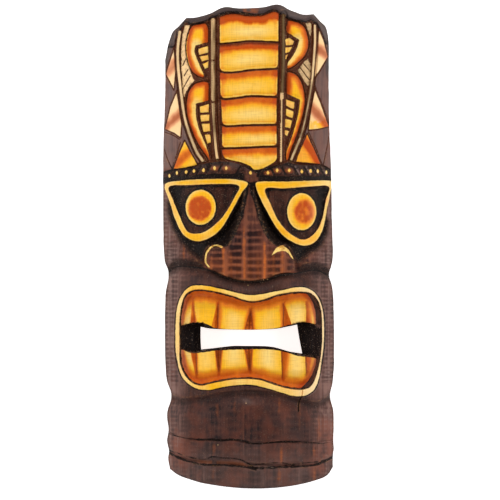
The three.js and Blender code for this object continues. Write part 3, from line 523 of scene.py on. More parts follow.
def headdress_depth(at):
    """Cushions, sticks, horns, combs, strips and the sunk ground between them."""
    depth = 1.6 * ramp(depth_in(field, at), 0, STEP_WIDTH)
    in_column = depth_in(column, at)
    near = np.minimum.reduce([in_column, *[away(line, at) for line in cushion_lines]])
    depth = np.where(in_column > 0, 1.8 * fall(near, 7), depth)
    for loop in horn_loops:
        in_horn = depth_in(loop, at)
        depth = np.where(in_horn > 0, 0.3 + 1.9 * fall(in_horn, 5), depth)
    for loop in comb_loops:
        depth = np.maximum(depth, 3.8 * ramp(depth_in(loop, at), 0, STEP_WIDTH))
    for cell in cells:
        depth = mix(depth, np.minimum(depth, 2.3), ramp(depth_in(cell, at, 4), -0.3, 0.9))
    for line in strips:
        gap = away(line, at)
        depth = np.where(gap < 1.8, 0.4, depth)
        depth = np.maximum(depth, groove(abs(gap - 2.9), 1.3, 2.4))
    for line in sticks:
        gap = away(line, at)
        depth = np.where(gap < 2.2, 0.5 + 0.8 * (gap / 2.2) ** 2, depth)
        depth = np.maximum(depth, groove(abs(gap - STICK_LINE), 1.7, LINE_DEPTH))
    for line in [*cushion_lines, *horn_backs]:
        depth = np.maximum(depth, groove(away(line, at), LINE_HALF, LINE_DEPTH))
    for line, closed in [*((loop, True) for loop in triangles), *((line, False) for line in side_lines)]:
        depth = np.maximum(depth, groove(away(line, at, 3, closed), 1.1, 0.9))
    for line in hatch_lines:
        depth += groove(away(line, at, 3), 0.8, 0.7)
    return depth

print("radius of the log's face in mm:", round(LOG_RADIUS, 1))

# %% [markdown]
# Each eye is a sunk socket with the rim left standing in it and a low globe within. The mouth is a bowl
# with a soft rise towards its middle, in which each wedge between two teeth is a small V valley.

# %% Eyes, nose and mouth
def eye_depth(number, at, around):
    """One socket: dark floor, the rim that stands in it and the eyeball within the rim."""
    x, y = at.T
    cx, cy = EYE_CENTRES[number]
    in_socket = depth_in(sockets[number], at)
    towards_nose = ramp(-abs(x - NOSE_X), -48, -20)
    floor = mix(9.5, 14.5, towards_nose) * ramp(in_socket, -2, 9)
    foot = height_at(brow_foot, x) - 3
    below = (in_socket > 0) & (y < foot)
    beside = ~below & (y > height_at(lip_line, x) + 9) & (y < 45)
    depth = np.where(below, np.maximum(around, floor), around)
    depth = np.where(beside, np.maximum(depth, 1.8 * fall(-in_socket, 6)), depth)
    outside_rim = -depth_in(rims[number], at)
    depth = np.where(outside_rim < STEP_WIDTH, mix(5.0, depth, ramp(outside_rim, 0, STEP_WIDTH)), depth)
    in_ball = depth_in(balls[number], at)
    globe = 6.6 + 2.6 * ramp(np.hypot(x - cx, y - cy), 10, 34)
    return np.where(in_ball > 0, mix(5.0, globe, ramp(in_ball, 0, STEP_WIDTH)), depth)


def face_depth(at):
    """Brows, eyes, bridge and nose."""
    x, y = at.T
    foot = height_at(brow_foot, x)
    bridge = 4.5 * ramp(y, -10, foot)
    beside = np.where(y > 45, ramp(abs(x - NOSE_X), 5, 12), 0)
    depth = mix(mix(bridge, 5.0, beside), 0.8, ramp(y, foot - 3, foot + 3))
    for number in (0, 1):
        depth = eye_depth(number, at, depth)
    for line in nostrils:
        side = np.sign(line[0, 0])
        beyond = (x - x_along(line, y)) * side
        wing = 6 * fall(away(line, at), 10)
        depth = np.where((beyond > 0) & (y < 0), np.maximum(depth, wing), depth)
    return depth


def cross_cuts(at):
    """The cut under nose and cheeks, and the one between lower lip and chin."""
    x, y = at.T
    above = y - height_at(lip_line, x)
    rise = mix(2.6, 9.0, ramp(abs(x - NOSE_X), 39, 49))
    lip = 6.5 * np.where(above > 0, fall(above, rise), fall(-above, 13))
    over = y - height_at(valley, x)
    return np.maximum(lip, 6.0 * np.where(over > 0, fall(over, 5), fall(-over, 18)))


def over_wedge(at, top, end, half):
    """Where points lie over a wedge: -1 to 1 from edge to edge, its half width, and whether in its row."""
    x, y = at.T
    down = (top[1] - y) / (top[1] - end[1])
    width = np.maximum(half * np.clip(down, 0, 1), 0.9)
    same_row = ((y > ROW_PARTING) == (top[1] > ROW_PARTING)) & (down > 0)
    return (x - mix(top[0], end[0], down)) / width, width, same_row


def mouth_height(at, surface):
    """Gums, two rows of teeth and the dark ends beside the slot."""
    x, y = at.T
    in_mouth = depth_in(mouth, at)
    z = surface - 8 * ramp(in_mouth, 0, 4.5) + 3 * ramp(in_mouth, 4.5, 14.5)
    for top, end, half, side, _, _ in WEDGES:
        across, width, same_row = over_wedge(at, top, end, half)
        bottom = WEDGE_LEAN * side
        rise = np.minimum((across + 1) / (bottom + 1), (1 - across) / (1 - bottom))
        z -= np.where(same_row, np.minimum(3.2, 1.1 * width) * np.maximum(0, rise), 0)
    between = (y < height_at(upper_teeth, x)) & (y > height_at(lower_teeth, x))
    past = (x < -45.5) | (x > mix(46, 51.5, (-81.5 - y) / 30))
    ends = mix(22, 27, ramp(abs(x), 50, 72)) + 0.35 * wander(at, 1.6, 4, 12)
    z = np.where(between & past & (in_mouth > 1), ends, z)
    return np.where(inside(mouth, at), z, surface)


print("deepest cut under the nose in mm:", cross_cuts(lip_line).max().round(1))

# %% [markdown]
# The gouge marks are worth a cell of their own. The brown wood was smoothed with a wide flat gouge in short
# pushes across the grain, which leaves rows about 8 mm apart with a faint ridge between them, crossed by
# the upright ridges where two passes meet. The same pattern later tells the stain where to pool, so relief
# and colour agree.

# %% Gouge marks
ROW, PASS = 7.5, 20.2
# Upright ridges that were rubbed bright: x, the heights between which each one shows, and how bright it is
BRIGHT_RIDGES = [
    (-25.6, -32, 10, 1.0), (-17.8, -34, -8, 0.35), (-4.1, -37, -22, 0.9), (-4.1, -22, 18, 0.55),
    (16, -36, 2, 1.1), (9.5, -35, -10, 0.25), (34.6, -30, 2, 0.7), (-38, -27, -12, 0.6), (26, -32, -8, 0.3),
    (-32, -176, -164, 0.3), (32, -172, -158, 0.5), (34, -224, -210, 0.8), (31.5, -243, -232, 0.7),
    (67.5, -244, -231, 0.5), (67.5, -216, -209, 0.5), (-36, -215, -205, 0.5), (-36, -240, -231, 0.3),
    (-67, -14, 2, 0.4), (52, -190, -172, 0.2), (-14, -172, -160, 0.2), (73, -200, -176, 0.2),
    (-60, -156, -148, 0.3), (-42, -152, -147, 0.4),
]


def cut_strength(at):
    """How plainly the gouge cuts show: all on the nose, less on cheeks and lips, least on the chin."""
    x, y = at.T
    nose = 1.25 * ramp(-abs(x - NOSE_X), -46, -38) * ramp(y, -40, -30) * ramp(-y, -46, -6)
    cheeks = 0.75 * ramp(abs(x), 40, 52) * ramp(y, -148, -138) * ramp(-y, -70, -55)
    chin = 0.4 * ramp(-y, 150, 162)
    return np.maximum.reduce([nose, cheeks, chin])


def gouge_marks(at):
    """(how far into its cut each point lies, 0 on the ridges to 1 mid-cut, and the height of the marks)."""
    x, y = at.T
    side = abs(x - NOSE_X) > 50
    drift = 0.3 * wander(at, 34, 11, 0.5) + 0.12 * wander(at, 5, 19)
    pass_width = np.where(side, 0.48 * PASS, PASS)
    pass_number = (x + 4.1) / pass_width + 0.05 * wander(at, 20, 12, 2) + 0.06 * wander(at, 9, 13, 6)
    offset = 0.14 * np.sin(2.4 * np.floor(pass_number))
    row_number = (y - 2.2) / np.where(side, 0.62 * ROW, ROW) + 0.5 * drift + offset
    whole = np.column_stack([np.floor(pass_number), np.floor(row_number)])
    uneven = 0.76 + 0.24 * wander(whole * 7.3, 1.7, 18)
    row_share, pass_share = row_number % 1, pass_number % 1
    from_row = 0.5 - abs(row_share - 0.5)
    from_pass = 0.5 - abs(pass_share - 0.5)
    cut = ramp(from_row, 0.02, 0.34) * ramp(from_pass, 0.02, 0.24) * uneven
    height = -0.34 * cut + 0.06 * wander(at, 3, 15, 3)
    return cut, height


def side_ticks(at):
    """Short level cuts down both edges of the face: (how deep in a cut, how much of an edge it is)."""
    x, y = at.T
    share = (y / 3.3 + 0.35 * wander(at, 9, 20)) % 1
    ticks = ramp(abs(share - 0.5), 0.12, 0.36)
    on_edge = ramp(abs(x), 77, 79.5) * ramp(-abs(x), -86, -83.5) * ramp(y, -146, -136) * ramp(-y, -44, -30)
    gap = abs(y - np.where(x < 0, -32, -33))
    return ticks, on_edge * ramp(gap, 8, 16) * (0.55 + 0.45 * wander(at, 12, 24))


def smooth_wood(at):
    """How smooth the wood was left: 1 on painted parts, borders and lips, 0 on plain brown wood."""
    x, y = at.T
    below = height_at(lip_line, x) - y
    headdress = ramp(y, 68, 74)
    eyes = np.maximum.reduce([ramp(depth_in(loop, at), -3, 2) for loop in sockets])
    lips = ramp(below, -1, 1) * ramp(below, 30, 16) * ramp(-abs(x), -72, -60)
    mouth_area = ramp(depth_in(mouth_outer, at), -4, 0)
    return np.maximum.reduce([headdress, eyes, lips, mouth_area])


marks = gouge_marks(lip_line)[1]
print("gouge marks in mm, from", marks.min().round(2), "to", marks.max().round(2))

# %% [markdown]
# Now the parts meet in one height for each point: the log's round face, less the deepest cut there, plus
# what is too fine for a solid.

# %% Whole face
def face_height(at):
    """Height of the carved face over the back's plane, in mm."""
    x, y = at.T
    reach = np.minimum(abs(x), HALF_WIDTH)
    round_face = LOG_AXIS + np.sqrt(LOG_RADIUS**2 - reach**2)
    ends = (y > SHOULDER_LEFT[0][1]) | (y < SIDE_LEFT[0][1])
    depth = np.where(ends, 2.4, 0.6) * fall(away(outline, at, 6, True), 4)
    brow_height = height_at(brow_line, x)
    depth = np.where(y > brow_height, np.maximum(depth, headdress_depth(at)), depth)
    for line in brows:
        depth = np.maximum(depth, groove(away(line, at), 1.7, 2.4))
    side_fade = mix(0.3, 1, ramp(HALF_WIDTH - abs(x), 0, 13))
    lip_height, valley_height = height_at(lip_line, x), height_at(valley, x)
    in_face = (y <= brow_height) & (y > lip_height)
    depth = np.where(in_face, np.maximum(depth, side_fade * face_depth(at)), depth)
    depth = np.where((y <= lip_height) & (y > valley_height), np.maximum(depth, 0.8), depth)
    depth = np.maximum(depth, mix(0.75, 1, side_fade) * cross_cuts(at))
    for path, half, cut in chin_lines:
        ragged = 1 + 0.35 * wander(at, 5, 21)
        depth = np.maximum(depth, groove(away(path, at) * ragged, half, cut))
    return mouth_height(at, round_face - depth) + fine_relief(at)


def fine_relief(at):
    """What is too small for the CAD solid: gouge marks, brow notches, thick paint, the split."""
    x, y = at.T
    relief = gouge_marks(at)[1] * (1 - 0.85 * smooth_wood(at))
    relief += 0.12 * wander(at, 22, 16) + 0.05 * wander(at, 2.2, 17)
    ticks, on_edge = side_ticks(at)
    relief -= 0.25 * ticks * on_edge
    for notch in brow_notches:
        relief -= groove(away(notch, at, 4), 1.5, 1.3)
    for dot in BROW_DOTS:
        relief += 0.5 * fall(np.hypot(x - dot[0], y - dot[1]), 2.6)
    for outer, inner in [*zip(rims, balls), (mouth_outer, mouth)]:
        relief += 0.3 * ramp(np.minimum(depth_in(outer, at, 4), -depth_in(inner, at, 4)), 0, 1.1)
    relief += 0.35 * ramp(depth_in(nostril_crescent, at, 4), -0.3, 0.9)
    relief += 0.35 * fall(away(nostril_arc, at, 4), 1.3)
    relief -= groove(away(split, at, 4), 0.9, 2.2)
    return relief


sample = face_height(np.array([(0.0, 30.0), (0.0, 220.0), (0.0, -95.0)]))
print("height of nose bridge, top cushion and mouth in mm:", sample.round(1))

# %% [markdown]
# ## Points for the mesh
# A plain grid would saw every cut into steps, or need millions of faces. So rows of points are laid along
# each carved or painted line, at the distances where the cut begins, bends and ends, and a loose grid fills
# what is left. A Delaunay triangulation then joins them: it is made for scattered points, and it keeps the
# outline and the mouth's edge as real edges.

# %% Rows beside each line
EDGE_INSET = 0.5
STICK_HALF, STRIP_HALF, RIM_STEP = 2.2, 1.6, 0.7
rows = []


def shifted(line, offset, closed=False):
    """The line moved sideways, to its left where offset is positive."""
    before = np.roll(line, 1, axis=0) if closed else np.vstack([line[:1], line[:-1]])
    after = np.roll(line, -1, axis=0) if closed else np.vstack([line[1:], line[-1:]])
    run = after - before
    run = run / np.maximum(np.hypot(*run.T), 1e-9)[:, None]
    return line + offset * np.column_stack([-run[:, 1], run[:, 0]])


def both(*offsets):
    """No offset, then each one to the left and to the right."""
    return [0, *(way * offset for offset in offsets for way in (1, -1))]


def add_rows(lines, offsets, closed=False):
    rows.extend(shifted(line, offset, closed) for line in lines for offset in offsets)


add_rows([*cushion_lines, *horn_backs], both(LINE_HALF, LINE_HALF / 2))
add_rows(sticks, both(STICK_HALF, STICK_LINE, 3.05, 5.6))
add_rows(strips, both(STRIP_HALF, 2.9, 4.2))
add_rows(horn_fronts, both(STEP_WIDTH, STEP_WIDTH / 2))
add_rows([column_left, column_right], both(1.2))
add_rows(brows, both(1.7, 0.85))
add_rows([border], both(1.2))
add_rows(cells, [0, 0.9, -0.6], True)
add_rows([*triangles, *hatched], both(0.9), True)
add_rows([*side_lines, *hatch_lines], both(0.9))
for rim, ball in zip(rims, balls):
    add_rows([rim], [0, 0.9, -RIM_STEP, -STEP_WIDTH], True)
    add_rows([ball], [0, RIM_STEP, STEP_WIDTH, -0.9], True)
add_rows(socket_lines, both(2))
turn = np.linspace(0, 2 * np.pi, 84, endpoint=False)
circle = np.column_stack([np.cos(turn), np.sin(turn)])
for middle, ring, inner_middle, disc in PUPILS:
    add_rows([circle * ring + middle], both(0.8), True)
    add_rows([circle * disc + inner_middle], [0], True)
add_rows([nostril_arc], both(0.8))
add_rows([nostril_crescent], both(0.7), True)
add_rows([lip_line], [0, 1.3, -1.3, 2.6])
add_rows([mouth_outer], both(0.9), True)
add_rows([mouth], [0, 0.8, 1.6, -0.8, 3], True)
for top, end, half, side, _, _ in WEDGES:
    bottom = WEDGE_LEAN * side
    add_rows([straight([top, (end[0] + edge * half, end[1])]) for edge in (-1, bottom, 1)], both(0.7))
add_rows([upper_teeth], [0, -0.6, 1])
add_rows([lower_teeth], [0, 0.6, -1])
add_rows([upper_gum, lower_gum], [0])
for path, half, _ in chin_lines:
    add_rows([path], both(half, half / 2))
add_rows([valley], [0])
add_rows([split], both(0.9, 0.45))
print("rows beside lines:", len(rows))

# %% [markdown]
# Rows of neighbouring lines run into each other, and points that lie too close make needle-thin faces. So
# only one is kept in each small square.

# %% Thinning and the loose grid
FEATURE_CELL, FACE_GRID = 0.72, 1.42
GRID_CORNERS = (-90, -252), (90, 252)


def thinned(points, size):
    """One point for each square of a grid, the first given one."""
    for start in (0, 0.5):
        square = np.floor(points / size + start).astype(np.int64)
        _, first = np.unique(square[:, 0] * 100003 + square[:, 1], return_index=True)
        points = points[np.sort(first)]
    return points


def clear_of(points, others, gap):
    """The points that are at least gap away from the others."""
    tree = KDTree(len(others))
    for number, (x, y) in enumerate(others):
        tree.insert((x, y, 0), number)
    tree.balance()
    return points[[tree.find((x, y, 0))[2] >= gap for x, y in points]]


def hex_grid(step, corner, far_corner):
    """Points on a honeycomb grid."""
    lines = []
    for k, y in enumerate(np.arange(corner[1], far_corner[1], step * math.sqrt(0.75))):
        xs = np.arange(corner[0] + (k % 2) * step / 2, far_corner[0], step)
        lines.append(np.column_stack([xs, np.full(len(xs), y)]))
    return np.vstack(lines)


def on_wood(points, ring, from_ring, from_slot):
    """The points that lie well inside the ring and clear of the mouth slot."""
    return points[(depth_in(ring, points, 4) > from_ring) & (depth_in(slot, points, 4) < -from_slot)]


ring = shifted(outline, EDGE_INSET, True)
dots = np.vstack([
    np.array(dot) + np.array([(0, 0), (1.2, 0), (-1.2, 0), (0, 1.4), (0, -1.4)]) for dot in BROW_DOTS
])
features = on_wood(thinned(np.vstack([dots, *rows]), FEATURE_CELL), ring, 0.7, 0.6)
loose = clear_of(on_wood(hex_grid(FACE_GRID, *GRID_CORNERS), ring, 0.8, 0.8), features, 0.95)
print("feature points:", len(features), "loose points:", len(loose))

# %% [markdown]
# The triangulation fills the whole outline, so the faces that fall outside it or in the mouth slot are
# dropped.

# %% Triangles of the face
def triangulated(loops, points):
    """Delaunay triangles of loops and points: inside the first loop and outside the others."""
    corners = np.vstack([*loops, points])
    sides, first = [], 0
    for loop in loops:
        sides += [(first + k, first + (k + 1) % len(loop)) for k in range(len(loop))]
        first += len(loop)
    made, _, triangles_made, *_ = delaunay_2d_cdt([Vector(p) for p in corners], sides, [], 0, 1e-5, False)
    made = np.array([tuple(p) for p in made])
    faces = np.array(triangles_made)
    middle = made[faces].mean(1)
    kept = inside(loops[0], middle)
    for loop in loops[1:]:
        kept &= ~inside(loop, middle)
    faces = faces[kept]
    a, b, c = (made[faces[:, k]] for k in range(3))
    turned = np.cross(b - a, c - a) < 0
    faces[turned] = faces[turned][:, ::-1]
    return made, faces


face_points, face_faces = triangulated([ring, slot], np.vstack([features, loose]))
print("face:", len(face_points), "points and", len(face_faces), "triangles")

# %% [markdown]
# ## The back and the walls
# The back of such a mask is sawn flat and hollowed with a round gouge, so that the wood can dry without
# splitting and the mask is light enough for a nail. It is a second height map, facing down. Walls join the
# two: one round the outside with slightly rubbed corners and knife facets, and one through the mouth.

# %% Back surface
HOLLOW_HALF_WIDTH, HOLLOW_DEPTH, HOLLOW_HALF_LENGTH = 58.0, 40.0, 205.0
HOLLOW_RADIUS = (HOLLOW_HALF_WIDTH**2 + HOLLOW_DEPTH**2) / (2 * HOLLOW_DEPTH)
NOTCH_WIDTH, NOTCH_DEPTH, NOTCH_TOP, NOTCH_FOOT = 10.0, 10.0, 219.0, 185.0
BACK_INSET, BACK_GRID = 0.35, 2.9
middle_x, middle_y = (outline.min(0) + outline.max(0)) / 2


def back_height(at):
    """Height of the hollowed back over its own plane. The hollow is centred on the mask's box."""
    x, y = (at - (middle_x, middle_y)).T
    past = np.maximum(abs(y) - (HOLLOW_HALF_LENGTH - HOLLOW_HALF_WIDTH), 0)
    reach = np.minimum(np.hypot(x, past), HOLLOW_RADIUS)
    raw = np.sqrt(HOLLOW_RADIUS**2 - reach**2) + HOLLOW_DEPTH - HOLLOW_RADIUS
    gouges = 0.7 * abs(wander(at, 8, 31, 4)) + 0.3 * wander(at, 4, 32, 2)
    raw = raw + gouges * ramp(raw, 0, 6)
    hollow = 0.5 * (raw + np.sqrt(raw**2 + 0.6)) * ramp(raw, -6, -1)
    notch = np.minimum.reduce([NOTCH_WIDTH / 2 - abs(x), NOTCH_TOP - y, y - NOTCH_FOOT])
    return np.where(notch > -0.05, np.maximum(hollow, NOTCH_DEPTH), hollow)


turn = np.linspace(0, np.pi, 90)
end = HOLLOW_HALF_WIDTH * np.column_stack([np.cos(turn), np.sin(turn)])
offset = [0, HOLLOW_HALF_LENGTH - HOLLOW_HALF_WIDTH]
hollow_edge = straight(np.vstack([end + offset, -end - offset]), 2.2, True) + (middle_x, middle_y)
half = NOTCH_WIDTH / 2
notch_path = straight([(-half, NOTCH_FOOT), (-half, NOTCH_TOP), (half, NOTCH_TOP), (half, NOTCH_FOOT)], 1.4)
notch_path = notch_path + (middle_x, middle_y)
rows = []
add_rows([hollow_edge], [*both(0.8, 2), 3.6, 5.6], True)
add_rows([notch_path], [0.12, -0.02, 1.2, -1.2])
back_ring = shifted(outline, BACK_INSET, True)
features = on_wood(np.vstack(rows), back_ring, 1.5, 1)
loose = clear_of(on_wood(hex_grid(BACK_GRID, *GRID_CORNERS), back_ring, 1.5, 1.2), features, 1.6)
back_points, back_faces = triangulated([back_ring, slot], np.vstack([features, loose]))
print("back:", len(back_points), "points and", len(back_faces), "triangles")

# %% [markdown]
# A wall takes the same loop of points as the surfaces that it joins, so no gap can open. Its middle rows
# are pushed in here and there, as a knife leaves flat spots.

# %% Walls between face and back
def wall_levels(top, foot, insets):
    """Heights of a wall's rows from top to foot: close together at its two rubbed corners."""
    share = np.linspace(0, 1, 7)[:, None]
    body = mix(top - insets[0], foot + insets[1], share)
    return np.vstack([top, top - 0.3 * insets[0], body, foot])


def facets(loop, z, depth):
    """Knife facets on a wall, as depths."""
    run = np.concatenate([[0], np.cumsum(np.hypot(*np.diff(loop, axis=0).T))])
    place = np.column_stack([np.broadcast_to(run, z.shape).ravel(), z.ravel()])
    return (depth * (0.5 + 0.5 * wander(place, 7, 41, 2.5))).reshape(z.shape)


def wall(loop, top, foot, outward):
    """(points, faces) of a wall that hangs from a loop's top heights to its foot heights."""
    count = len(loop)
    z = wall_levels(top, foot, (EDGE_INSET, BACK_INSET))
    inset = np.zeros(z.shape)
    if outward:
        inset[1:-1] = facets(loop, z[1:-1], 0.45)
        inset[0], inset[1], inset[-1] = EDGE_INSET, 0.2 + 0.3 * inset[1], BACK_INSET
    inward = shifted(loop, 1, True) - loop
    points = np.vstack([
        np.column_stack([loop + inward * row_inset[:, None], row_z]) for row_inset, row_z in zip(inset, z)
    ])
    quads = []
    for start in range(0, (len(z) - 1) * count, count):
        here = start + np.arange(count)
        beside = start + (np.arange(count) + 1) % count
        quads.append(np.column_stack([here, here + count, beside + count]))
        quads.append(np.column_stack([here, beside + count, beside]))
    faces = np.vstack(quads)
    return points, faces if outward else faces[:, ::-1]


side = wall(outline, face_height(ring), back_height(back_ring), True)
slot_area = np.cross(slot, np.roll(slot, -1, axis=0)).sum()
slot_loop = slot if slot_area > 0 else slot[::-1]
through = wall(slot_loop, face_height(slot_loop), back_height(slot_loop), False)
print("side wall:", len(side[1]), "mouth wall:", len(through[1]), "triangles")

# %% [markdown]
# ## One mesh
# The four surfaces share the points where they meet. Merging those makes one skin, as the mask is one piece
# of wood. The print counts the edges that don't have exactly two faces. A perfect skin has none; this one
# keeps 56 at its rims. Eight points there miss their twin in the rounding and stay doubled, and eight thin
# slivers lie between rim points that are nearly in line.

# %% Joined and checked
parts = [
    (np.column_stack([face_points, face_height(face_points)]), face_faces),
    side,
    through,
    (np.column_stack([back_points, back_height(back_points)]), back_faces[:, ::-1]),
]
KINDS = ["face", "side", "mouth wall", "back"]
MERGE_GAP = 0.002
starts = np.cumsum([0, *[len(points) for points, _ in parts]])
points = np.vstack([p for p, _ in parts])
faces = np.vstack([f + start for (_, f), start in zip(parts, starts)])
kind = np.concatenate([np.full(len(f), k) for k, (_, f) in enumerate(parts)])
place = np.round(points / MERGE_GAP).astype(np.int64)
_, first, merged = np.unique(place, axis=0, return_index=True, return_inverse=True)
order = np.sort(first)
rank = np.empty(len(first), int)
rank[np.argsort(first)] = np.arange(len(first))
points, faces = points[order], rank[merged.ravel()][faces]
kept = (faces[:, 0] != faces[:, 1]) & (faces[:, 1] != faces[:, 2]) & (faces[:, 2] != faces[:, 0])
faces, kind = faces[kept], kind[kept]
sides = np.sort(np.vstack([faces[:, pair] for pair in ([0, 1], [1, 2], [2, 0])]), axis=1)
_, uses = np.unique(sides, axis=0, return_counts=True)
print("mask:", len(points), "points,", len(faces), "triangles,", int((uses != 2).sum()), "open edges")

# %% [markdown]
# ## Where the paint goes
# The painter filled the carved shapes, so each colour's edge is a distance to a drawn line. The mesh stores
# these distances at its points, in millimetres: the shader can then draw a sharp, slightly wavering brush
# edge at the place where the distance is zero, which is far finer than the mesh itself. Airbrushed colours
# have no edge, and are stored as amounts from 0 to 1.

# %% Paint fields
class Paint(dict):
    """Named fields of paint, with one value for each point of the mesh."""

    def lay(self, where, **amounts):
        """Sets amounts of paint on part of the points."""
        for name, amount in amounts.items():
            self[name] = np.where(where, amount, self[name])

    def widen(self, **fields):
        """Raises fields to the given values wherever those are larger."""
        for name, value in fields.items():
            self[name] = np.maximum(self[name], value)

    def narrow(self, **fields):
        """Lowers fields to the given values wherever those are smaller."""
        for name, value in fields.items():
            self[name] = np.minimum(self[name], value)


# Fields that hold a distance to the edge of a paint, and fields that hold an amount from 0 to 1
EDGED = ["yellow", "pale", "ink"]
BLOWN = ["orange", "red", "glow", "shade", "grey", "faded", "cut", "bright", "streaks", "umber"]
FAR_OUT = -9.0  # mm: nowhere near the paint
print("fields:", len(EDGED), "edged and", len(BLOWN), "blown")

# %% [markdown]
# Cushions and horns are yellow with cream in the middle. Orange was blown along their upper and outer
# edges: in a firm band on the first two cushions and softer on the rest.

# %% Paint on cushions and horns
# Each cushion: strength of its cream light, how far right that lies, orange along its sides and foot
CUSHIONS = [(1.1, 2, 0.2), (0.9, 0, 0.24), (0.5, -2, 0.4), (0.95, 4, 0.36), (0.85, 8, 0.34), (0.7, 6, 0.1)]
# Each horn: cream light along its inner edge, the share of it at the tip, orange mist along its outer edge,
# and the orange added to its tail
HORN_PAINT = [(1.3, 0.35, 0.95, 0), (0.85, 1, 0.92, 0.05), (1.0, 1, 0.8, 0), (0.2, 1, 0.82, 0.12)]


def panel(left, right, foot, top, at, corner):
    """Depth inside a panel between two upright and two level lines; its lower corners are round."""
    x, y = at.T
    side = np.minimum(x - x_along(left, y), x_along(right, y) - x)
    dx, dy = side - corner, y - height_at(foot, x) - corner
    rounded = corner - np.hypot(np.minimum(dx, 0), np.minimum(dy, 0))
    rounded = np.where((dx > 0) & (dy > 0), corner + np.minimum(dx, dy), rounded)
    return np.minimum(rounded, height_at(top, x) - y)


def paint_cushions(at, paint):
    x, y = at.T
    above = y > height_at(brow_line, x) - 0.5
    tops, feet = [border, *cushion_lines], [*cushion_lines, tongue]
    for number, (top, foot, (light, middle, rim)) in enumerate(zip(tops, feet, CUSHIONS)):
        upper_two = number < 2
        inner = panel(column_left, column_right, foot, top, at, 4.6 if number else 1.0)
        inner -= 1.05 if upper_two else 1.25
        paint.widen(yellow=np.where(above, inner, FAR_OUT))
        down, up = height_at(top, x) - y, y - height_at(foot, x)
        side = np.minimum(x + 29, 30.5 - x)
        ragged = 0.9 * wander(at, 9, 101, 0.5) + 0.6 * wander(at, 1.6, 102, 4)
        blown = -(down + ragged)
        if upper_two:
            band = 0.74 * ramp(blown, -10.5, -6.5) + 0.34 * ramp(blown, -15, -6)
        else:
            band = 0.42 * ramp(blown, -9, -5) + 0.46 * ramp(blown, -15, -4)
        lit = np.exp(-(((down / (down + up) - 0.62) / 0.22) ** 2)) * np.exp(-(((x - middle) / 24) ** 2))
        edge = 0.5 * fall(abs(inner - 0.5), 1.0) * (down > 9)
        paint.lay(inner > -1.5, orange=band + rim * (fall(up - 1.5, 5) + fall(side - 1, 7)) - edge,
                  red=(0.45, 0.9, 0.3)[min(number, 2)] * fall(down - 1.5 + 0.6 * ragged, 4.5),
                  glow=light * lit + edge)
    paint.widen(ink=np.where(above, depth_in(field, at) + 3.4, FAR_OUT))


def paint_horns(at, paint):
    x, y = at.T
    drawn = zip(horn_loops, horn_backs, horn_fronts, HORN_PAINT)
    for loop, back, front, (light, tip_share, mist, tail_mist) in drawn:
        deep = depth_in(loop, at)
        outer, inner = away(back, at), away(front, at)
        upper = ramp(y, back[0, 1] - 2, back[0, 1] + 12)
        ragged = 0.9 * wander(at, 5, 103)
        spread = np.clip(0.62 * (outer + inner), 4, 8)
        tail = ramp(-y, -126, -108)
        warm = 1.22 * fall((outer - 1.2 + ragged) / spread, 1) + 0.95 * fall(abs(x) - 38, 11) * upper
        brown = 0.4 * fall((outer - 0.8) / spread, 0.6) * (1 - 5 * tail_mist * tail)
        tip = mix(tip_share, 1, ramp(y, front[0, 1] + 2, front[0, 1] + 16))
        paint.widen(yellow=deep - 0.9)
        paint.lay(deep > -0.6, orange=warm * mist + tail_mist * tail,
                  red=brown + 0.3 * fall(abs(x) - 38, 6) * upper, glow=light * tip * fall(inner - 0.5, 10))


print("cushions:", len(CUSHIONS), "horns:", len(HORN_PAINT))

# %% [markdown]
# Sticks and strips are pale rods with darker stretches. Painted shade darkens the right side of the left
# stick, and a painted highlight runs down the middle of the right stick's dark upper part. The triangles
# each have one soft stripe blown across them, and black lines part the small pieces. Later coats cover
# earlier ones, as they do on the mask.

# %% Paint on sticks, strips and small parts
OLIVE_STRIP, NICKS = (112, 170), (191.5, 148.5)
PATCH_SHADES = [0.0, 0.24, 0.3]
STRIPE_STRENGTHS = [0.62, 0.95, 0.85, 0.85, 0.72, 1.0]


def paint_strips_and_sticks(at, paint):
    x, y = at.T
    for line, wide in zip(strips, (1.25, mix(1.05, 0.75, ramp(-y, -180, -160) * ramp(y, 104, 116)))):
        gap = away(line, at, 5)
        paint.widen(pale=wide - gap)
        dull = 0.22 + 0.3 * ramp(-y, -132, -118)
        paint.lay(gap < 2.5, shade=dull + 0.16 * wander(at, 3, 50, 5), orange=0.0, glow=0.5)
    olive = (away(strips[1], at, 5) < 2.5) & (y > OLIVE_STRIP[0]) & (y < OLIVE_STRIP[1])
    paint.lay(olive, shade=0.62 + 0.2 * wander(at, 9, 89))
    left_stick, right_stick = sticks
    on_left, on_right = away(left_stick, at, 5), away(right_stick, at, 5)
    paint.widen(pale=mix(1.2, 2.1, ramp(y, 120, 165)) - on_left)
    # Darker in streaks, with painted shade down the stick's right side
    worn = 0.55 + 0.35 * wander(at, 1.3, 51, 12) + 0.35 * ramp(x - x_along(left_stick, y), 0.2, 1.6)
    paint.lay(on_left < 2.8, shade=np.clip(worn * mix(0.3, 1, ramp(y, 100, 126)), 0, 0.95))
    for nick in NICKS:
        in_nick = 0.9 - np.hypot((x + 36.5) / 2.4, y - nick)
        paint.widen(ink=in_nick)
        paint.narrow(pale=-in_nick)
    thin = away(right_stick + (-0.6, 0), at, 5)
    rod = (on_right < 2.4) & (y > 152)
    paint.widen(pale=np.where(rod, 1.9 - on_right, FAR_OUT))
    # The upper right stick is dark, with a painted highlight down its middle
    paint.lay(rod, shade=0.98 + 0.03 * wander(at, 1.6, 56, 9) - 0.1 * fall(on_right, 1.1))
    paint.widen(pale=np.where(y < 158, 0.95 - thin, FAR_OUT))
    paint.lay((thin < 2) & (y < 158), shade=0.2)


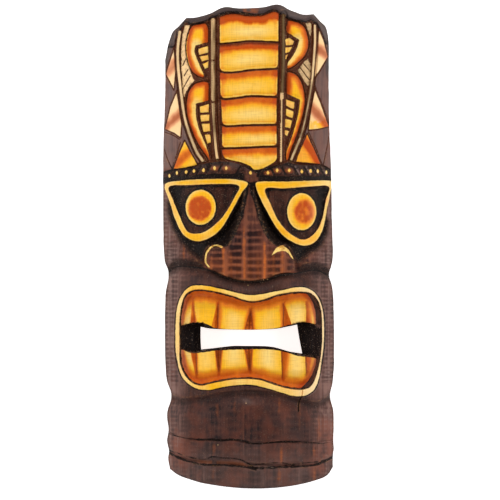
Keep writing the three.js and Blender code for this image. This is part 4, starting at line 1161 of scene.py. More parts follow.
def paint_cells_and_patches(at, paint):
    for cell in cells:
        deep = depth_in(cell, at, 5)
        paint.widen(yellow=deep - 0.1)
        paint.lay(deep > -1, orange=0.16 + 0.14 * wander(at, 3, 52), red=0.0,
                  glow=0.55 + 0.3 * wander(at, 4, 55), faded=0.05)
    for patch, dull in zip(hatched, PATCH_SHADES):
        deep = depth_in(patch, at, 5)
        paint.widen(pale=deep - 0.2 + 0.5 * wander(at, 1.8, 53))
        speckled = 0.26 * ramp(wander(at, 1.1, 54), -0.1, 0.5) + 0.16 * wander(at, 3, 57)
        paint.lay(deep > -1, shade=dull + speckled + 0.2 * fall(deep, 1.6), orange=0.1, glow=0.25)


def paint_triangles(at, paint):
    y = at[:, 1]
    for number, (loop, stripe, strength) in enumerate(zip(triangles, stripes, STRIPE_STRENGTHS)):
        deep = depth_in(loop, at, 6)
        pale = number < 4
        paint.widen(**{"pale" if pale else "yellow": deep - 0.75})
        if number == 3:
            paint.widen(yellow=np.minimum(deep - 0.75, (129 - y) / 24))
        gap = away(stripe, at, 14) + 1.4 * wander(at, 8, 104)
        paint.lay(deep > -0.8, orange=(0.3 if number == 5 else 0.12) + strength * ramp(-gap, -7.0, -0.8),
                  red=(0.25 if pale else 0.08) * ramp(-gap, -4, 0),
                  glow=(0.45 if pale else 0.2) * ramp(gap, 5, 10), shade=0.0, faded=0.0)
        paint.widen(ink=0.8 - away(loop, at, 5, True))
    for line in side_lines:
        paint.widen(ink=0.6 - away(line, at, 5))
    for line in hatch_lines:
        gap = away(line, at, 5)
        paint.narrow(pale=np.where(gap < 3, gap - 0.55, 99))


print("small parts to paint:", len(strips) + len(sticks) + len(cells) + len(hatched) + len(triangles))

# %% [markdown]
# Brows and sockets are black with soft, smoky edges, so they use both: a hard inked core and a soft shade
# round it. The pupils are a yellow oval with an orange disc blown into it.

# %% Paint on brows and eyes
def paint_brows(at, paint):
    x, y = at.T
    foot, brow_height = height_at(brow_foot, x), height_at(brow_line, x)
    in_brow = (y > foot - 5) & (y < brow_height + 1)
    dark_top = 0.84 + 0.12 * ramp(y - brow_height, -8, -3)
    paint.lay(in_brow & (abs(x - 3) > 7), shade=dark_top + 0.2 * wander(at, 3, 62, 0.7))
    paint.lay((x > -20) & (x < -8) & (y > foot + 5) & in_brow, shade=0.62)
    band = np.minimum(y - (foot - 5), foot + 2.2 + 1.2 * wander(at, 7, 61) - y)
    paint.widen(ink=np.where(abs(x - 3) > 8, band, FAR_OUT))
    for line in brows:
        paint.widen(ink=1.6 - away(line, at, 5))
    for (dot_x, _), notch in zip(BROW_DOTS, brow_notches):
        paint.widen(ink=1.0 - away(notch, at, 4))
        # On the right brow, pale strokes beside the notches are painted glints
        if dot_x > 40:
            painted_glint_stroke = fall(away(notch + (2.0, 0.6), at, 4) - 0.3, 1.0) * in_brow
            paint.widen(faded=painted_glint_stroke)
            paint["shade"] -= 0.75 * painted_glint_stroke * ramp(wander(at, 2, 88), -0.7, 0.2)
    for dx, dy in BROW_DOTS:
        inner = 1 - ramp(abs(dx - 2), 62, 80)
        round_dot = np.hypot((x - dx) / mix(1.15, 1.45, inner), (y - dy) / 1.95)
        paint.widen(yellow=(1 - round_dot) * 1.5)
        paint.lay(round_dot < 1.6, glow=mix(0.95, 0.5, inner), orange=0.1)
        if -40 < dx < -15 or 15 < dx < 45:
            rubbed = fall(np.hypot((x - dx) / 1.7, y - dy), 4.2)
            paint["shade"] -= 0.62 * rubbed * in_brow
            paint.widen(bright=0.95 * rubbed)


def paint_socket(at, paint, number, in_ball):
    """The black round the rim and the dark ground within it."""
    x, y = at.T
    near_nose = ramp(-abs(x - NOSE_X), -44, -24)
    under_brow = y < height_at(brow_foot, x)
    in_socket = depth_in(sockets[number], at) + 0.7 * wander(at, 6, 66) + 2.2 * near_nose * ramp(y, 0, 12)
    paint.widen(shade=ramp(in_socket, mix(-3, -0.8, near_nose), mix(3.5, 1.5, near_nose)) * under_brow,
                ink=np.where((in_socket > -1) & under_brow, in_socket - mix(4.5, 0.8, near_nose), FAR_OUT))
    inner_shade = 0.86 + 0.15 * wander(at, 6, 63, 2) + 0.1 * wander(at, 1.6, 80, 2)
    # Painted shadow: black under the rim's upper bar and in the eyeball's outer corner
    painted_shadow_under_rim = 3.1 + 0.9 * wander(at, 7, 78) - in_ball
    corner = 6 * ramp(-abs(x - SOCKET_CORNERS[number]), -17, -5) - 1.4 + 0.6 * wander(at, 5, 67)
    paint.lay(in_ball > 0, shade=inner_shade - 0.13 * number * ramp(-x, -46, -40),
              ink=np.maximum(np.where(y > 50, painted_shadow_under_rim, 1.1 - in_ball), corner))


def paint_eyes(at, paint):
    x, y = at.T
    for number in (0, 1):
        in_rim, in_ball = depth_in(rims[number], at), depth_in(balls[number], at)
        paint_socket(at, paint, number, in_ball)
        band = np.minimum(in_rim, -in_ball)
        # Painted light on the rim: paler along its edges and towards both sides, less of it low on the left
        # eye; near the round sides the rim also takes the pale painted sheen
        lit = 0.35 + 0.4 * wander(at, 14, 64) + 0.3 * ramp(x, 30, 80) + 0.25 * ramp(-x, 50, 84)
        lit += 0.55 * fall(band, 1.1) - 0.25 * ramp(58 - y, 0, 14) * (x < 0) - 0.2 * ramp(band, 1, 2)
        paint.widen(yellow=band)
        paint.lay(band > -1, glow=np.clip(lit, 0, 1), red=0.0, faded=0.35 * ramp(abs(x), 70, 84),
                  orange=0.1 + 0.14 * wander(at, 8, 65) + 0.2 * fall(abs(band), 0.5) * (in_ball > -2))
        (rx, ry), (ra, rb), (dx, dy), (da, db) = PUPILS[number]
        from_ring = (1 - np.hypot((x - rx) / ra, (y - ry) / rb)) * (ra + rb) / 2
        from_disc = (1 - np.hypot((x - dx) / da, (y - dy) / db)) * (da + db) / 2
        mottle = 0.2 * wander(at, 1.8, 68, 1.3) + 0.16 * wander(at, 4, 79)
        blown = ramp(from_disc + 0.4 * wander(at, 4, 69), -1.4, (0.9, 3.6)[number])
        paint.widen(yellow=from_ring)
        paint.lay(from_ring > -1, orange=0.08 + ((0.94, 0.86)[number] + mottle) * blown,
                  red=(0.06 + mottle) * ramp(from_disc, 0, 6),
                  glow=0.7 * fall(from_ring, 1.8) + 0.3 * ramp(rx - x, -4, 12) * ramp(-from_disc, 0.5, 3))
        paint.lay((in_ball > 0) & (from_ring < -1), red=0.0)
        paint.widen(ink=np.where(in_ball > 0, 1.2 - abs(from_ring + 0.9), FAR_OUT))


print("pupils:", len(PUPILS), "brow notches:", len(brow_notches))

# %% [markdown]
# Nose, lips and chin stay stained wood. Black was blown over them in soft patches, thin brush lines follow
# the cuts, and a few pale specks fell off the brush.

# %% Paint on nose, lips and chin
SPECKS = [(-31.5, -205), (-2.5, -162), (-0.5, -40.5), (15.5, -35), (19.5, -34.2), (25, -41.5), (-32, 9.5)]


def paint_nose_and_lips(at, paint):
    x, y = at.T
    above = y - height_at(lip_line, x)
    bridge = ramp(-abs(x - NOSE_X), -14, -8) * ramp(y, 18, 58) * (y < height_at(brow_foot, x) + 8)
    thick = mix(0.7, 1.5, ramp(-abs(x - NOSE_X), -52, -34)) + 0.4 * wander(at, 12, 71)
    cheek = ramp(abs(x - NOSE_X), 44, 52)
    lips = np.where(above < 0, ramp(depth_in(mouth_outer, at), -24, -8), 0) * ramp(-abs(x), -80, -56)
    paint.widen(ink=thick - away(lip_line, at, 5), grey=0.5 * lips)
    for soot in (
        (0.46 + 0.2 * wander(at, 2, 77, 9)) * bridge,
        0.9 * cheek * np.where(above > 0, fall(above - 4, 9), 0),
        0.8 * np.where(above < 0, fall(-above - 1, 10), 0),
        (0.5 + 0.2 * wander(at, 10, 73)) * lips,
    ):
        paint.widen(shade=soot)
    arcs = np.maximum(0.85 - away(nostril_arc, at, 5), depth_in(nostril_crescent, at, 5) + 0.1)
    paint.widen(yellow=arcs)
    paint.lay(arcs > -1.5, glow=0.95, orange=0.0)


def paint_chin(at, paint):
    x, y = at.T
    over = y - height_at(valley, x)
    paint.widen(shade=(0.62 + 0.2 * wander(at, 12, 74)) * np.where(over > 0, fall(over, 9), fall(-over, 8)))
    wobble = 0.45 * wander(at, 3.5, 72) + 0.2 * wander(at, 1.4, 75)
    for path, half in chin_ink:
        paint.widen(ink=half + wobble * half - away(path, at, 5))
    between = away(chin_ink[4][0] + (0, 2.4), at, 6)
    paint.widen(bright=0.4 * fall(between, 3) * (wander(at, 6, 76) > 0) * ramp(x, -60, -48),
                ink=0.7 - away(split, at, 4))
    for dx, dy in SPECKS:
        paint.widen(pale=0.75 - np.hypot(x - dx, y - dy))


print("pale specks:", len(SPECKS))

# %% [markdown]
# The mouth has a yellow rim, teeth that run from amber gums to cream tips, and black at both ends of the
# slot. Each wedge between two teeth has a dark core of painted shade on its deep side and a mist of orange
# beside it.

# %% Paint in the mouth
TOOTH_MIDDLES = np.array([-44.5, -15, 20, 50, -64, 68])
UPPER_LIGHT, LOWER_LIGHT = [0.0, 0.66, 0.4, 0.95, 0.8, 0.5], [0.5, 0.9, 1.0, 0.8, 0.8, 0.3]


def paint_mouth_rim(at, paint, in_mouth, band):
    """The yellow rim: deepest yellow at its left corners, paler at the right and far left."""
    x, y = at.T
    sunny = np.maximum(fall(np.hypot(x + 42, y + 42), 34), 0.6 * fall(np.hypot(x + 36, y + 148), 30))
    paint.lay((band > -1) & (in_mouth < 0.7), red=0.0,
              glow=np.clip(0.72 + 0.3 * wander(at, 12, 81) - 0.75 * sunny, 0, 1),
              orange=0.06 + 0.12 * wander(at, 7, 82) + 0.3 * fall(-in_mouth, 0.9),
              faded=np.maximum(0.95 * ramp(x, 34, 66), 0.45 * ramp(-x, 56, 70)))


def paint_mouth(at, paint):
    x, y = at.T
    in_mouth, in_outer = depth_in(mouth, at), depth_in(mouth_outer, at)
    upper_row = y > ROW_PARTING
    outer_line = 0.75 + 0.3 * wander(at, 5, 87) - abs(in_outer + 0.5)
    paint.widen(ink=np.maximum(outer_line, np.minimum(in_mouth + 0.55, 2)))
    gum_line = np.where(upper_row, height_at(upper_gum, x) - y, y - height_at(lower_gum, x))
    tooth_end = np.where(upper_row, y - height_at(upper_teeth, x), height_at(lower_teeth, x) - y - 1.6)
    right_end = x_along(teeth_right, y) - x
    teeth = np.minimum.reduce([tooth_end, in_mouth - 1.95 + 0.5 * wander(at, 4, 83), right_end])
    thinner = 0.55 * ramp(x, 52, 70) * ramp(y, -138, -118) * ramp(-y, 46, 60)
    thinner = np.maximum(thinner, 0.7 * ramp(-x, 62, 70) * ramp(-y, 108, 114) * ramp(y, -128, -120))
    band = np.minimum(in_outer - thinner, -in_mouth - 0.5 * thinner)
    paint.widen(yellow=np.maximum(teeth, band))
    beside = (right_end < 0.4) & (in_mouth > 1.2)
    paint.lay(beside & (x > 58) & (tooth_end > -3), ink=-1.0)
    paint.lay(beside, shade=0.55 + 0.2 * wander(at, 4, 86))
    paint_mouth_rim(at, paint, in_mouth, band)
    ragged = 1.2 * wander(at, 6, 84, 1.6) + 0.7 * wander(at, 1.5, 85, 6)
    ends = np.minimum(x + 70, right_end)
    warm = 0.86 * ramp(-(gum_line + ragged), -13, 0.0) + 0.3 * fall(ends, 8)
    dark = 0.46 * ramp(-(np.minimum(in_mouth, ends + 2.2) + 0.4 * ragged), -3.3, -1.4)
    for top, end, half, side, to_left, to_right in WEDGES:
        across, width, same_row = over_wedge(at, top, end, half)
        beyond = width * np.maximum(abs(across) - 1, 0) + 0.25 * ragged
        spread = np.where(across < 0, to_left, to_right) * mix(1, 0.55, ramp(width, 1, 4.5))
        mist = 0.92 * ramp(-beyond / spread, -1, 0.15)
        edge = np.minimum(abs(across - 0.85 * side), 1 if side else abs(abs(across) - 0.8)) * width
        # Painted shade: a dark core along the wedge's deep side, or along both its edges where it has no
        # side
        painted_shade_core = (0.72 - 0.2 * (half < 2.6)) * ramp(-edge, -1.5, -0.3) * ramp(gum_line, 1, 9)
        body = 0.26 * ramp(-beyond, -0.7, 0.2) * ramp(gum_line, 0, 6)
        warm = np.where(same_row, np.maximum(warm, mist), warm)
        dark = np.where(same_row, np.maximum.reduce([dark, painted_shade_core, body]), dark)
    strength = np.where(upper_row[:, None], UPPER_LIGHT, LOWER_LIGHT)
    light = (np.exp(-(((x[:, None] - TOOTH_MIDDLES) / 8.5) ** 2)) * strength).max(1)
    paint.lay((teeth > -2) & (in_mouth > 0.7), orange=warm, red=dark, glow=light * ramp(gum_line, 5, 18))


print("teeth:", len(UPPER_LIGHT), "above and", len(LOWER_LIGHT), "below")

# %% [markdown]
# The last fields are a pale painted sheen on the round sides, and where hands, sun and rubbing have been.
# Ridges lose stain and show warm wood, and hollows keep dust and dark stain. The mesh knows which is which:
# a point that stands above the mean of its neighbours is a ridge, one that lies below it is a hollow.

# %% Ground colours and rubbed ridges
def paint_ground(at, paint, over):
    """Ground before any paint: grey and streaked beside the headdress, a pale painted sheen on the round
    sides, a paler foot and a rubbed smear on the chin.
    """
    x, y = at.T
    side_ground = ramp(y, 76, 84) * (depth_in(field, at) < 0)
    dark_edge = side_ground * ramp(-depth_in(outline, at), -7, -1.5) * ramp(y, 168, 186)
    smear = np.exp(-(((x + 1) / 7) ** 2 + ((y + 160.5 + 0.25 * x) / 2.6) ** 2))
    left = x < 0
    # Pale haze over the ground: painted sheen beside the headdress and down both round sides, paler along
    # the foot, and one rubbed smear on the chin
    paint["faded"] = np.maximum.reduce([
        np.where(left, 0.4, 0.3) * side_ground,
        np.where(left, 0.78, 0.58) * ramp(abs(x), 58, 82) * ramp(-y, -74, -60),
        0.4 * ramp(-y, 196, 226),
        0.55 * smear,
    ])
    paint["grey"] = np.maximum(side_ground * (0.45 + 0.3 * wander(at, 3, 97, 7)), dark_edge)
    paint["shade"] = 0.5 * dark_edge
    paint["streaks"] = 0.35 + 0.65 * ramp(-y, 140, 165)
    paint["umber"] = ramp(y, 80, 88) * (over < 0)


def paint_border(at, paint, over):
    """The grey rim round the headdress: black towards the carving, a painted highlight on its outer bevel,
    rubbed in the middle.
    """
    x = at[:, 0]
    paint.widen(grey=ramp(over, -0.6, 0.6))
    paint.lay(over > 0, ink=2.3 + 0.8 * wander(at, 6, 92) - over,
              faded=mix(0.3, 0.5, ramp(x, 30, 40)) * ramp(over, 3, 6))
    rubbed = fall(abs(x - 1), 13) * ramp(over, 1.5, 4) * ramp(wander(at, 4, 93, 0.6), -0.5, 0.3)
    paint.widen(bright=0.65 * rubbed)
    paint.lay(rubbed > 0.2, grey=0.35)
    clear = np.where(over > -3, -over - 0.5, -FAR_OUT)
    paint.narrow(yellow=clear, pale=clear)


def paint_wear(at, paint):
    """Gouge cuts, rubbed ridges, painted highlight and shade on the side ticks, and a darker band along the
    outline.
    """
    x, y = at.T
    cut, _ = gouge_marks(at)
    paint["cut"] = cut * cut_strength(at) * (1 - 0.8 * smooth_wood(at))
    ridge_width = wander(at, 5, 96)
    for ridge_x, foot, head, strength in BRIGHT_RIDGES:
        sway = ridge_x + 0.9 * wander(at, 14, 91, 2) + 0.5 * wander(at, 4, 94)
        span = ramp(y, foot - 3, foot + 3) * ramp(-y, -head - 4, -head + 3)
        shine = ramp(-abs(x - sway), -1.9 - 1.2 * ridge_width, -0.2) * (0.5 + 0.5 * (1 - cut))
        paint.widen(bright=strength * shine * span * (0.75 + 0.5 * wander(at, 2.6, 95, 0.6)))
    ticks, on_edge = side_ticks(at)
    # Painted highlight on the ridges between the ticks, painted shade in the tick cuts
    paint.widen(faded=0.95 * (1 - ticks) * on_edge, shade=0.55 * ticks * on_edge)
    paint.widen(shade=0.5 * ramp(depth_in(outline, at), 2.2, 0.4) * (y < 72))
    nose_foot = ramp(-abs(x - 1), -46, -34) * ramp(-y, 0, 22) * (y > height_at(lip_line, x))
    paint.widen(bright=0.2 * nose_foot * (1 - cut))


print("rubbed ridges:", len(BRIGHT_RIDGES))

# %% [markdown]
# The coats go on in order, and then the walls get theirs: black inside the mouth, grey round the top. The
# bend of the mesh at each point gives its last two fields.

# %% All paint and wear on the points
def paint_all(at):
    paint = Paint({name: np.full(len(at), FAR_OUT) for name in EDGED})
    paint.update({name: np.zeros(len(at)) for name in BLOWN})
    over = np.where(at[:, 1] > 150, at[:, 1] - height_at(border, at[:, 0]), FAR_OUT)
    paint_ground(at, paint, over)
    paint_cushions(at, paint)
    paint_horns(at, paint)
    paint_border(at, paint, over)
    for add_paint in (
        paint_strips_and_sticks, paint_cells_and_patches, paint_triangles, paint_brows, paint_eyes,
        paint_nose_and_lips, paint_chin, paint_mouth, paint_wear,
    ):
        add_paint(at, paint)
    return paint


def only_on(surface):
    """Which points lie on one surface. Those on the rim that it shares with the face are the face's."""
    chosen = np.zeros(len(points), bool)
    chosen[faces[kind == KINDS.index(surface)].ravel()] = True
    if surface != "face":
        chosen[faces[kind == KINDS.index("face")].ravel()] = False
    return chosen


paint = paint_all(points[:, :2])
wall_point, side_point, on_face = only_on("mouth wall"), only_on("side"), only_on("face")
paint.lay(wall_point, ink=3, yellow=FAR_OUT, pale=FAR_OUT)
paint.lay(side_point, bright=0)
paint.lay(side_point & (points[:, 1] > 200), grey=1)

links = np.vstack([sides, sides[:, ::-1]])
gap = points[links[:, 1]] - points[links[:, 0]]
total, reach = np.zeros(len(points)), np.zeros(len(points))
np.add.at(total, links[:, 0], gap[:, 2])
np.add.at(reach, links[:, 0], np.hypot(gap[:, 0], gap[:, 1]))
bend = total / np.maximum(reach, 0.3)
for name, way in (("ridge", -1), ("hollow", 1)):
    paint[name] = np.where(on_face, np.clip(way * bend * 1.6 - 0.1, 0, 1), 0)
print("paint fields:", ", ".join(paint))

# %% [markdown]
# The arrays become a Blender mesh in a few quick calls, with one float attribute for each field of paint.
# Faces are shaded smooth, save where they meet sharply.

# %% The mask object
SHARP_DEGREES = 52
to_frame = (low + high)[:2] / 2 / MM - (middle_x, middle_y)
placed = (points + np.array([*to_frame, 0])) * MM
mesh = bpy.data.meshes.new("carved_mask")
mesh.from_pydata([], [], [])
mesh.vertices.add(len(placed))
mesh.vertices.foreach_set("co", placed.astype(np.float32).ravel())
mesh.loops.add(len(faces) * 3)
mesh.loops.foreach_set("vertex_index", faces.astype(np.int32).ravel())
mesh.polygons.add(len(faces))
mesh.polygons.foreach_set("loop_start", np.arange(0, len(faces) * 3, 3, dtype=np.int32))
mesh.polygons.foreach_set("material_index", (kind == KINDS.index("back")).astype(np.int32))
mesh.update(calc_edges=True)
mesh.validate()
mesh.polygons.foreach_set("use_smooth", np.ones(len(mesh.polygons), bool))
mesh.set_sharp_from_angle(angle=math.radians(SHARP_DEGREES))
for name, values in paint.items():
    field_values = mesh.attributes.new(name, "FLOAT", "POINT")
    field_values.data.foreach_set("value", values.astype(np.float32))
mask = bpy.data.objects.new("carved_mask", mesh)
bpy.context.scene.collection.objects.link(mask)
print("mask in the scene:", len(mesh.polygons), "triangles")

# %% [markdown]
# ## Shader building blocks
# A few small helpers keep the node graphs readable. Each effect that the painted face and the bare back
# share is a node group with named inputs: wood grain, brushed paint edges, airbrushed colour, stain, and
# wear. The groups put out only colours and masks; the Principled shader stays in each material.

# %% Node helpers
def tint(red, green, blue):
    """A colour from 0-255 values, as the shader wants it."""
    values = [c / 255 for c in (red, green, blue)]
    linear = [c / 12.92 if c <= 0.04045 else ((c + 0.055) / 1.055) ** 2.4 for c in values]
    return (*linear, 1.0)


def set_inputs(node, values):
    for name, value in values.items():
        node.inputs[name].default_value = value


class Graph:
    """A node tree with one short call for each kind of node it needs."""

    def __init__(self, tree):
        self.tree = tree

    def node(self, kind, **settings):
        made = self.tree.nodes.new(f"ShaderNode{kind}")
        for name, value in settings.items():
            setattr(made, name, value)
        return made

    def feed(self, socket, value):
        if isinstance(value, bpy.types.NodeSocket):
            self.tree.links.new(value, socket)
        elif value is not None:
            socket.default_value = value

    def math(self, operation, *values, clamp=False):
        made = self.node("Math", operation=operation, use_clamp=clamp)
        for socket, value in zip(made.inputs, values):
            self.feed(socket, value)
        return made.outputs[0]

    def times(self, a, b, plus=None, clamp=False):
        """a times b, and something added where it is given."""
        if plus is None:
            return self.math("MULTIPLY", a, b, clamp=clamp)
        return self.math("MULTIPLY_ADD", a, b, plus, clamp=clamp)

    def ramp(self, value, start, end, low=0.0, high=1.0):
        made = self.node("MapRange", interpolation_type="SMOOTHSTEP")
        for socket, given in zip(made.inputs, (value, start, end, low, high)):
            self.feed(socket, given)
        return made.outputs[0]

    def mix(self, share, a, b):
        """Colour a where share is 0, colour b where it is 1."""
        made = self.node("Mix", data_type="RGBA")
        for number, value in ((0, share), (6, a), (7, b)):
            self.feed(made.inputs[number], value)
        return made.outputs[2]

    def place(self):
        return self.node("TexCoord").outputs["Object"]

    def noise(self, where, scale, detail=2.0, rough=0.5):
        """Noise at one scale, or stretched by a scale for each of X, Y and Z."""
        if isinstance(scale, tuple):
            stretched = self.node("Mapping")
            self.feed(stretched.inputs["Vector"], where)
            stretched.inputs["Scale"].default_value = scale
            where, scale = stretched.outputs[0], 1.0
        made = self.node("TexNoise")
        self.feed(made.inputs["Vector"], where)
        set_inputs(made, {"Scale": scale, "Detail": detail, "Roughness": rough})
        return made.outputs["Fac"]

    def bump(self, height, strength, distance):
        made = self.node("Bump")
        set_inputs(made, {"Strength": strength, "Distance": distance})
        self.feed(made.inputs["Height"], height)
        return made.outputs[0]

    def group(self, tree, **given):
        """A group node; the words of a socket's name are joined by _ here."""
        made = self.node("Group", node_tree=tree)
        for name, value in given.items():
            self.feed(made.inputs[name.replace("_", " ").capitalize()], value)
        return made.outputs


def new_group(name, inputs, outputs):
    """A new node group: (its Graph, its input sockets by name, its output sockets by name).

    The inputs are given with their first values, the outputs with their kinds.
    """
    tree = bpy.data.node_groups.new(name, "ShaderNodeTree")
    for label, value in inputs.items():
        kind = "Color" if isinstance(value, tuple) else "Float"
        socket = tree.interface.new_socket(label, in_out="INPUT", socket_type=f"NodeSocket{kind}")
        socket.default_value = value
    for label, kind in outputs.items():
        tree.interface.new_socket(label, in_out="OUTPUT", socket_type=f"NodeSocket{kind}")
    return Graph(tree), tree.nodes.new("NodeGroupInput").outputs, tree.nodes.new("NodeGroupOutput").inputs


print("helpers ready; a mid brown is", [round(c, 3) for c in tint(92, 62, 52)[:3]])

# %% [markdown]
# ### Wood grain
# The growth rings of the log are cylinders round its axis, so the distance to that axis drives them: the
# sawn ends then show rings and the face shows long grain, from one pattern. Fine fibres are noise stretched
# along the log.

# %% Wood grain group
RING_WIDTH = 0.0042
g, given, result = new_group(
    "wood_grain",
    {"Ring width": RING_WIDTH, "Fibre": 1.0},
    {"Rings": "Float", "Fibres": "Float", "Pores": "Float", "Place": "Vector"},
)
place = g.place()
axes = g.node("SeparateXYZ")
g.feed(axes.inputs[0], place)
from_axis = g.math("SUBTRACT", axes.outputs["Z"], LOG_AXIS * MM)
x_swayed = g.times(g.noise(place, (9, 2.2, 9)), 0.02, axes.outputs["X"])
radius = g.math("SQRT", g.math("ADD", g.math("POWER", x_swayed, 2.0), g.math("POWER", from_axis, 2.0)))
g.feed(result["Rings"], g.ramp(g.math("FRACT", g.math("DIVIDE", radius, given["Ring width"])), 0.0, 1.0))
g.feed(result["Fibres"], g.times(g.noise(place, (620, 26, 620), 3, 0.6), given["Fibre"]))
g.feed(result["Pores"], g.ramp(g.noise(place, (900, 70, 900), 1), 0.64, 0.74))
g.feed(result["Place"], place)
wood_grain = g.tree
print("group:", wood_grain.name)

# %% [markdown]
# ### Brushed edge
# A stored distance becomes a mask: positive is inside the paint. A little noise is added before the cut, so
# the edge wavers as a hand-held brush does, and a second fine noise breaks it where the bristles skip over
# the grain.

# %% Brushed edge group
g, given, result = new_group(
    "brushed_edge", {"Distance": 0.0, "Waver": 0.35, "Softness": 0.22, "Seed": 0.0}, {"Mask": "Float"},
)
moved = g.node("VectorMath", operation="ADD")
g.feed(moved.inputs[0], g.place())
g.feed(moved.inputs[1], given["Seed"])
slow, quick = (g.math("SUBTRACT", g.noise(moved.outputs[0], *size), 0.5) for size in ((210, 2), (900, 1)))
wavered = g.times(g.times(quick, 0.5, slow), g.times(given["Waver"], 2.0), given["Distance"])
g.feed(result["Mask"], g.ramp(wavered, g.times(given["Softness"], -1.0), given["Softness"]))
brushed_edge = g.tree
print("group:", brushed_edge.name)

# %% [markdown]
# ### Stain
# Water stain sinks in unevenly: it is darkest in the hollow of each gouge cut, thin on the ridges, and
# streaked along the fibres. Three browns are mixed by those things, from nearly black to the rubbed mauve
# of the high wood. Ruddy patches, a pale mauve haze that is partly faded stain and partly painted sheen,
# and the warm wood of rubbed ridges then lie over them.

# %% Stain group
g, given, result = new_group(
    "stain",
    {
        "Dark": tint(36, 20, 20), "Middle": tint(84, 50, 42), "Light": tint(124, 74, 56),
        "Ruddy": tint(122, 62, 42), "Warm": tint(212, 110, 46), "Pale": tint(136, 112, 106),
        "Cut": 0.5, "Bright": 0.0, "Faded": 0.0, "Streaks": 0.5, "Fibres": 0.5,
    },
    {"Color": "Color"},
)
place = g.place()
streak = g.noise(place, (330, 14, 330), 3, 0.7)
comb = g.noise(place, (720, 16, 720), 1)
depth = g.times(given["Cut"], 0.7, g.times(streak, 1.15))
depth = g.times(g.times(comb, given["Streaks"]), 0.55, depth)
depth = g.times(given["Fibres"], 0.25, depth)
depth = g.times(g.noise(place, 26, 3, 0.55), 0.5, depth)
depth = g.times(g.noise(place, (75, 100, 75)), 0.5, depth)
colour = g.mix(g.ramp(depth, 1.18, 1.48), given["Light"], given["Middle"])
colour = g.mix(g.ramp(depth, 1.56, 1.86), colour, given["Dark"])
patch = g.ramp(g.noise(place, (44, 34, 44), 3, 0.62), 0.4, 0.66, 0.0, 0.95)
colour = g.mix(g.times(patch, given["Streaks"]), colour, given["Ruddy"])
# A pale mauve haze: partly faded stain, partly painted sheen
colour = g.mix(g.times(given["Faded"], g.ramp(depth, 1.18, 1.68, 0.95, 0.3)), colour, given["Pale"])
rubbed = g.times(given["Bright"], g.ramp(streak, 0.2, 0.6, 0.3, 1.0))
g.feed(result["Color"], g.mix(rubbed, colour, given["Warm"]))
stain = g.tree
print("group:", stain.name)

# %% [markdown]
# ### Airbrush
# Orange was blown over the yellow in soft bands, then red-brown into the deepest corners, so the colour
# runs through a bright amber. The mist is speckled where it thins out, which fine noise gives. The lightest
# yellow is creamy.

# %% Airbrush group
g, given, result = new_group(
    "airbrush",
    {
        "Base": tint(254, 188, 24), "Cream": tint(255, 218, 128), "Amber": tint(236, 132, 30),
        "Orange": tint(190, 70, 10), "Red": tint(84, 22, 4), "Glow": 0.0, "Amount": 0.0, "Deep": 0.0,
    },
    {"Color": "Color"},
)
place = g.place()
mist = g.math("SUBTRACT", g.noise(place, 1500, 1), 0.5)
drift = g.math("SUBTRACT", g.noise(place, 120, 3, 0.6), 0.5)
noisy = g.times(drift, 0.42, g.times(mist, 0.18))
colour = g.mix(g.times(noisy, 1.1, given["Glow"], clamp=True), given["Base"], given["Cream"])
amount = g.math("ADD", given["Amount"], g.times(noisy, g.ramp(given["Amount"], 0.0, 0.3)))
colour = g.mix(g.ramp(amount, 0.04, 0.58), colour, given["Amber"])
colour = g.mix(g.ramp(amount, 0.48, 1.06), colour, given["Orange"])
deep = g.times(noisy, 0.5, given["Deep"])
g.feed(result["Color"], g.mix(g.ramp(deep, 0.1, 1.05), colour, given["Red"]))
airbrush = g.tree
print("group:", airbrush.name)

# %% [markdown]
# ### Wear
# Rubbed ridges and chipped paint let the pale wood through, dust settles in hollows. The group takes the
# colour so far and the mesh's ridge and hollow fields, and says how much bare wood shows, so roughness can
# follow.

# %% Wear group
g, given, result = new_group(
    "wear",
    {
        "Color": tint(90, 60, 52), "Wood": tint(214, 170, 112), "Dust": tint(120, 100, 92),
        "Ridge": 0.0, "Hollow": 0.0, "Rubbed": 0.5, "Dusty": 0.2,
    },
    {"Color": "Color", "Bare": "Float"},
)
place = g.place()
patchy = g.noise(place, 160, 4, 0.65)
chips = g.ramp(g.noise(place, 620), 0.6, 0.72)
edge = g.times(given["Ridge"], g.ramp(patchy, 0.4, 0.66))
bare = g.times(g.times(chips, 0.35, edge), given["Rubbed"])
bare = g.times(bare, g.ramp(given["Ridge"], 0.02, 0.5), clamp=True)
bare = g.math("MAXIMUM", bare, g.times(g.ramp(g.noise(place, 1250, 0), 0.77, 0.8), given["Dusty"]))
dusted = g.times(g.times(given["Hollow"], given["Dusty"]), g.ramp(patchy, 0.35, 0.7))
colour = g.mix(dusted, given["Color"], given["Dust"])
g.feed(result["Color"], g.mix(bare, colour, given["Wood"]))
g.feed(result["Bare"], bare)
wear = g.tree
print("group:", wear.name)

# %% [markdown]
# ## The painted face
# The layers go on in the painter's order: stain, grey border, black, pale and yellow paint with orange
# mist, then wear over all. A satin varnish covers everything, so a thin coat is set on the shader, and
# roughness varies with how thick the paint lies.

# %% Stained and blackened wood
def principled(name, coat, coat_roughness):
    """A new material: (its material, its Graph, its Principled node)."""
    material = bpy.data.materials.new(name)
    material.use_nodes = True
    shader = material.node_tree.nodes["Principled BSDF"]
    set_inputs(shader, {"Coat Weight": coat, "Coat Roughness": coat_roughness, "Specular IOR Level": 0.07})
    return material, Graph(material.node_tree), shader


painted, g, shader = principled("painted_carved_wood", 0.05, 0.35)
fields = {name: g.node("Attribute", attribute_name=name).outputs["Fac"] for name in paint}
grain = g.group(wood_grain)
brown = g.group(stain, cut=fields["cut"], bright=fields["bright"], faded=fields["faded"],
                streaks=fields["streaks"], fibres=grain["Fibres"])
greyed = g.mix(g.times(grain["Fibres"], 0.6), tint(44, 40, 42), tint(88, 82, 84))
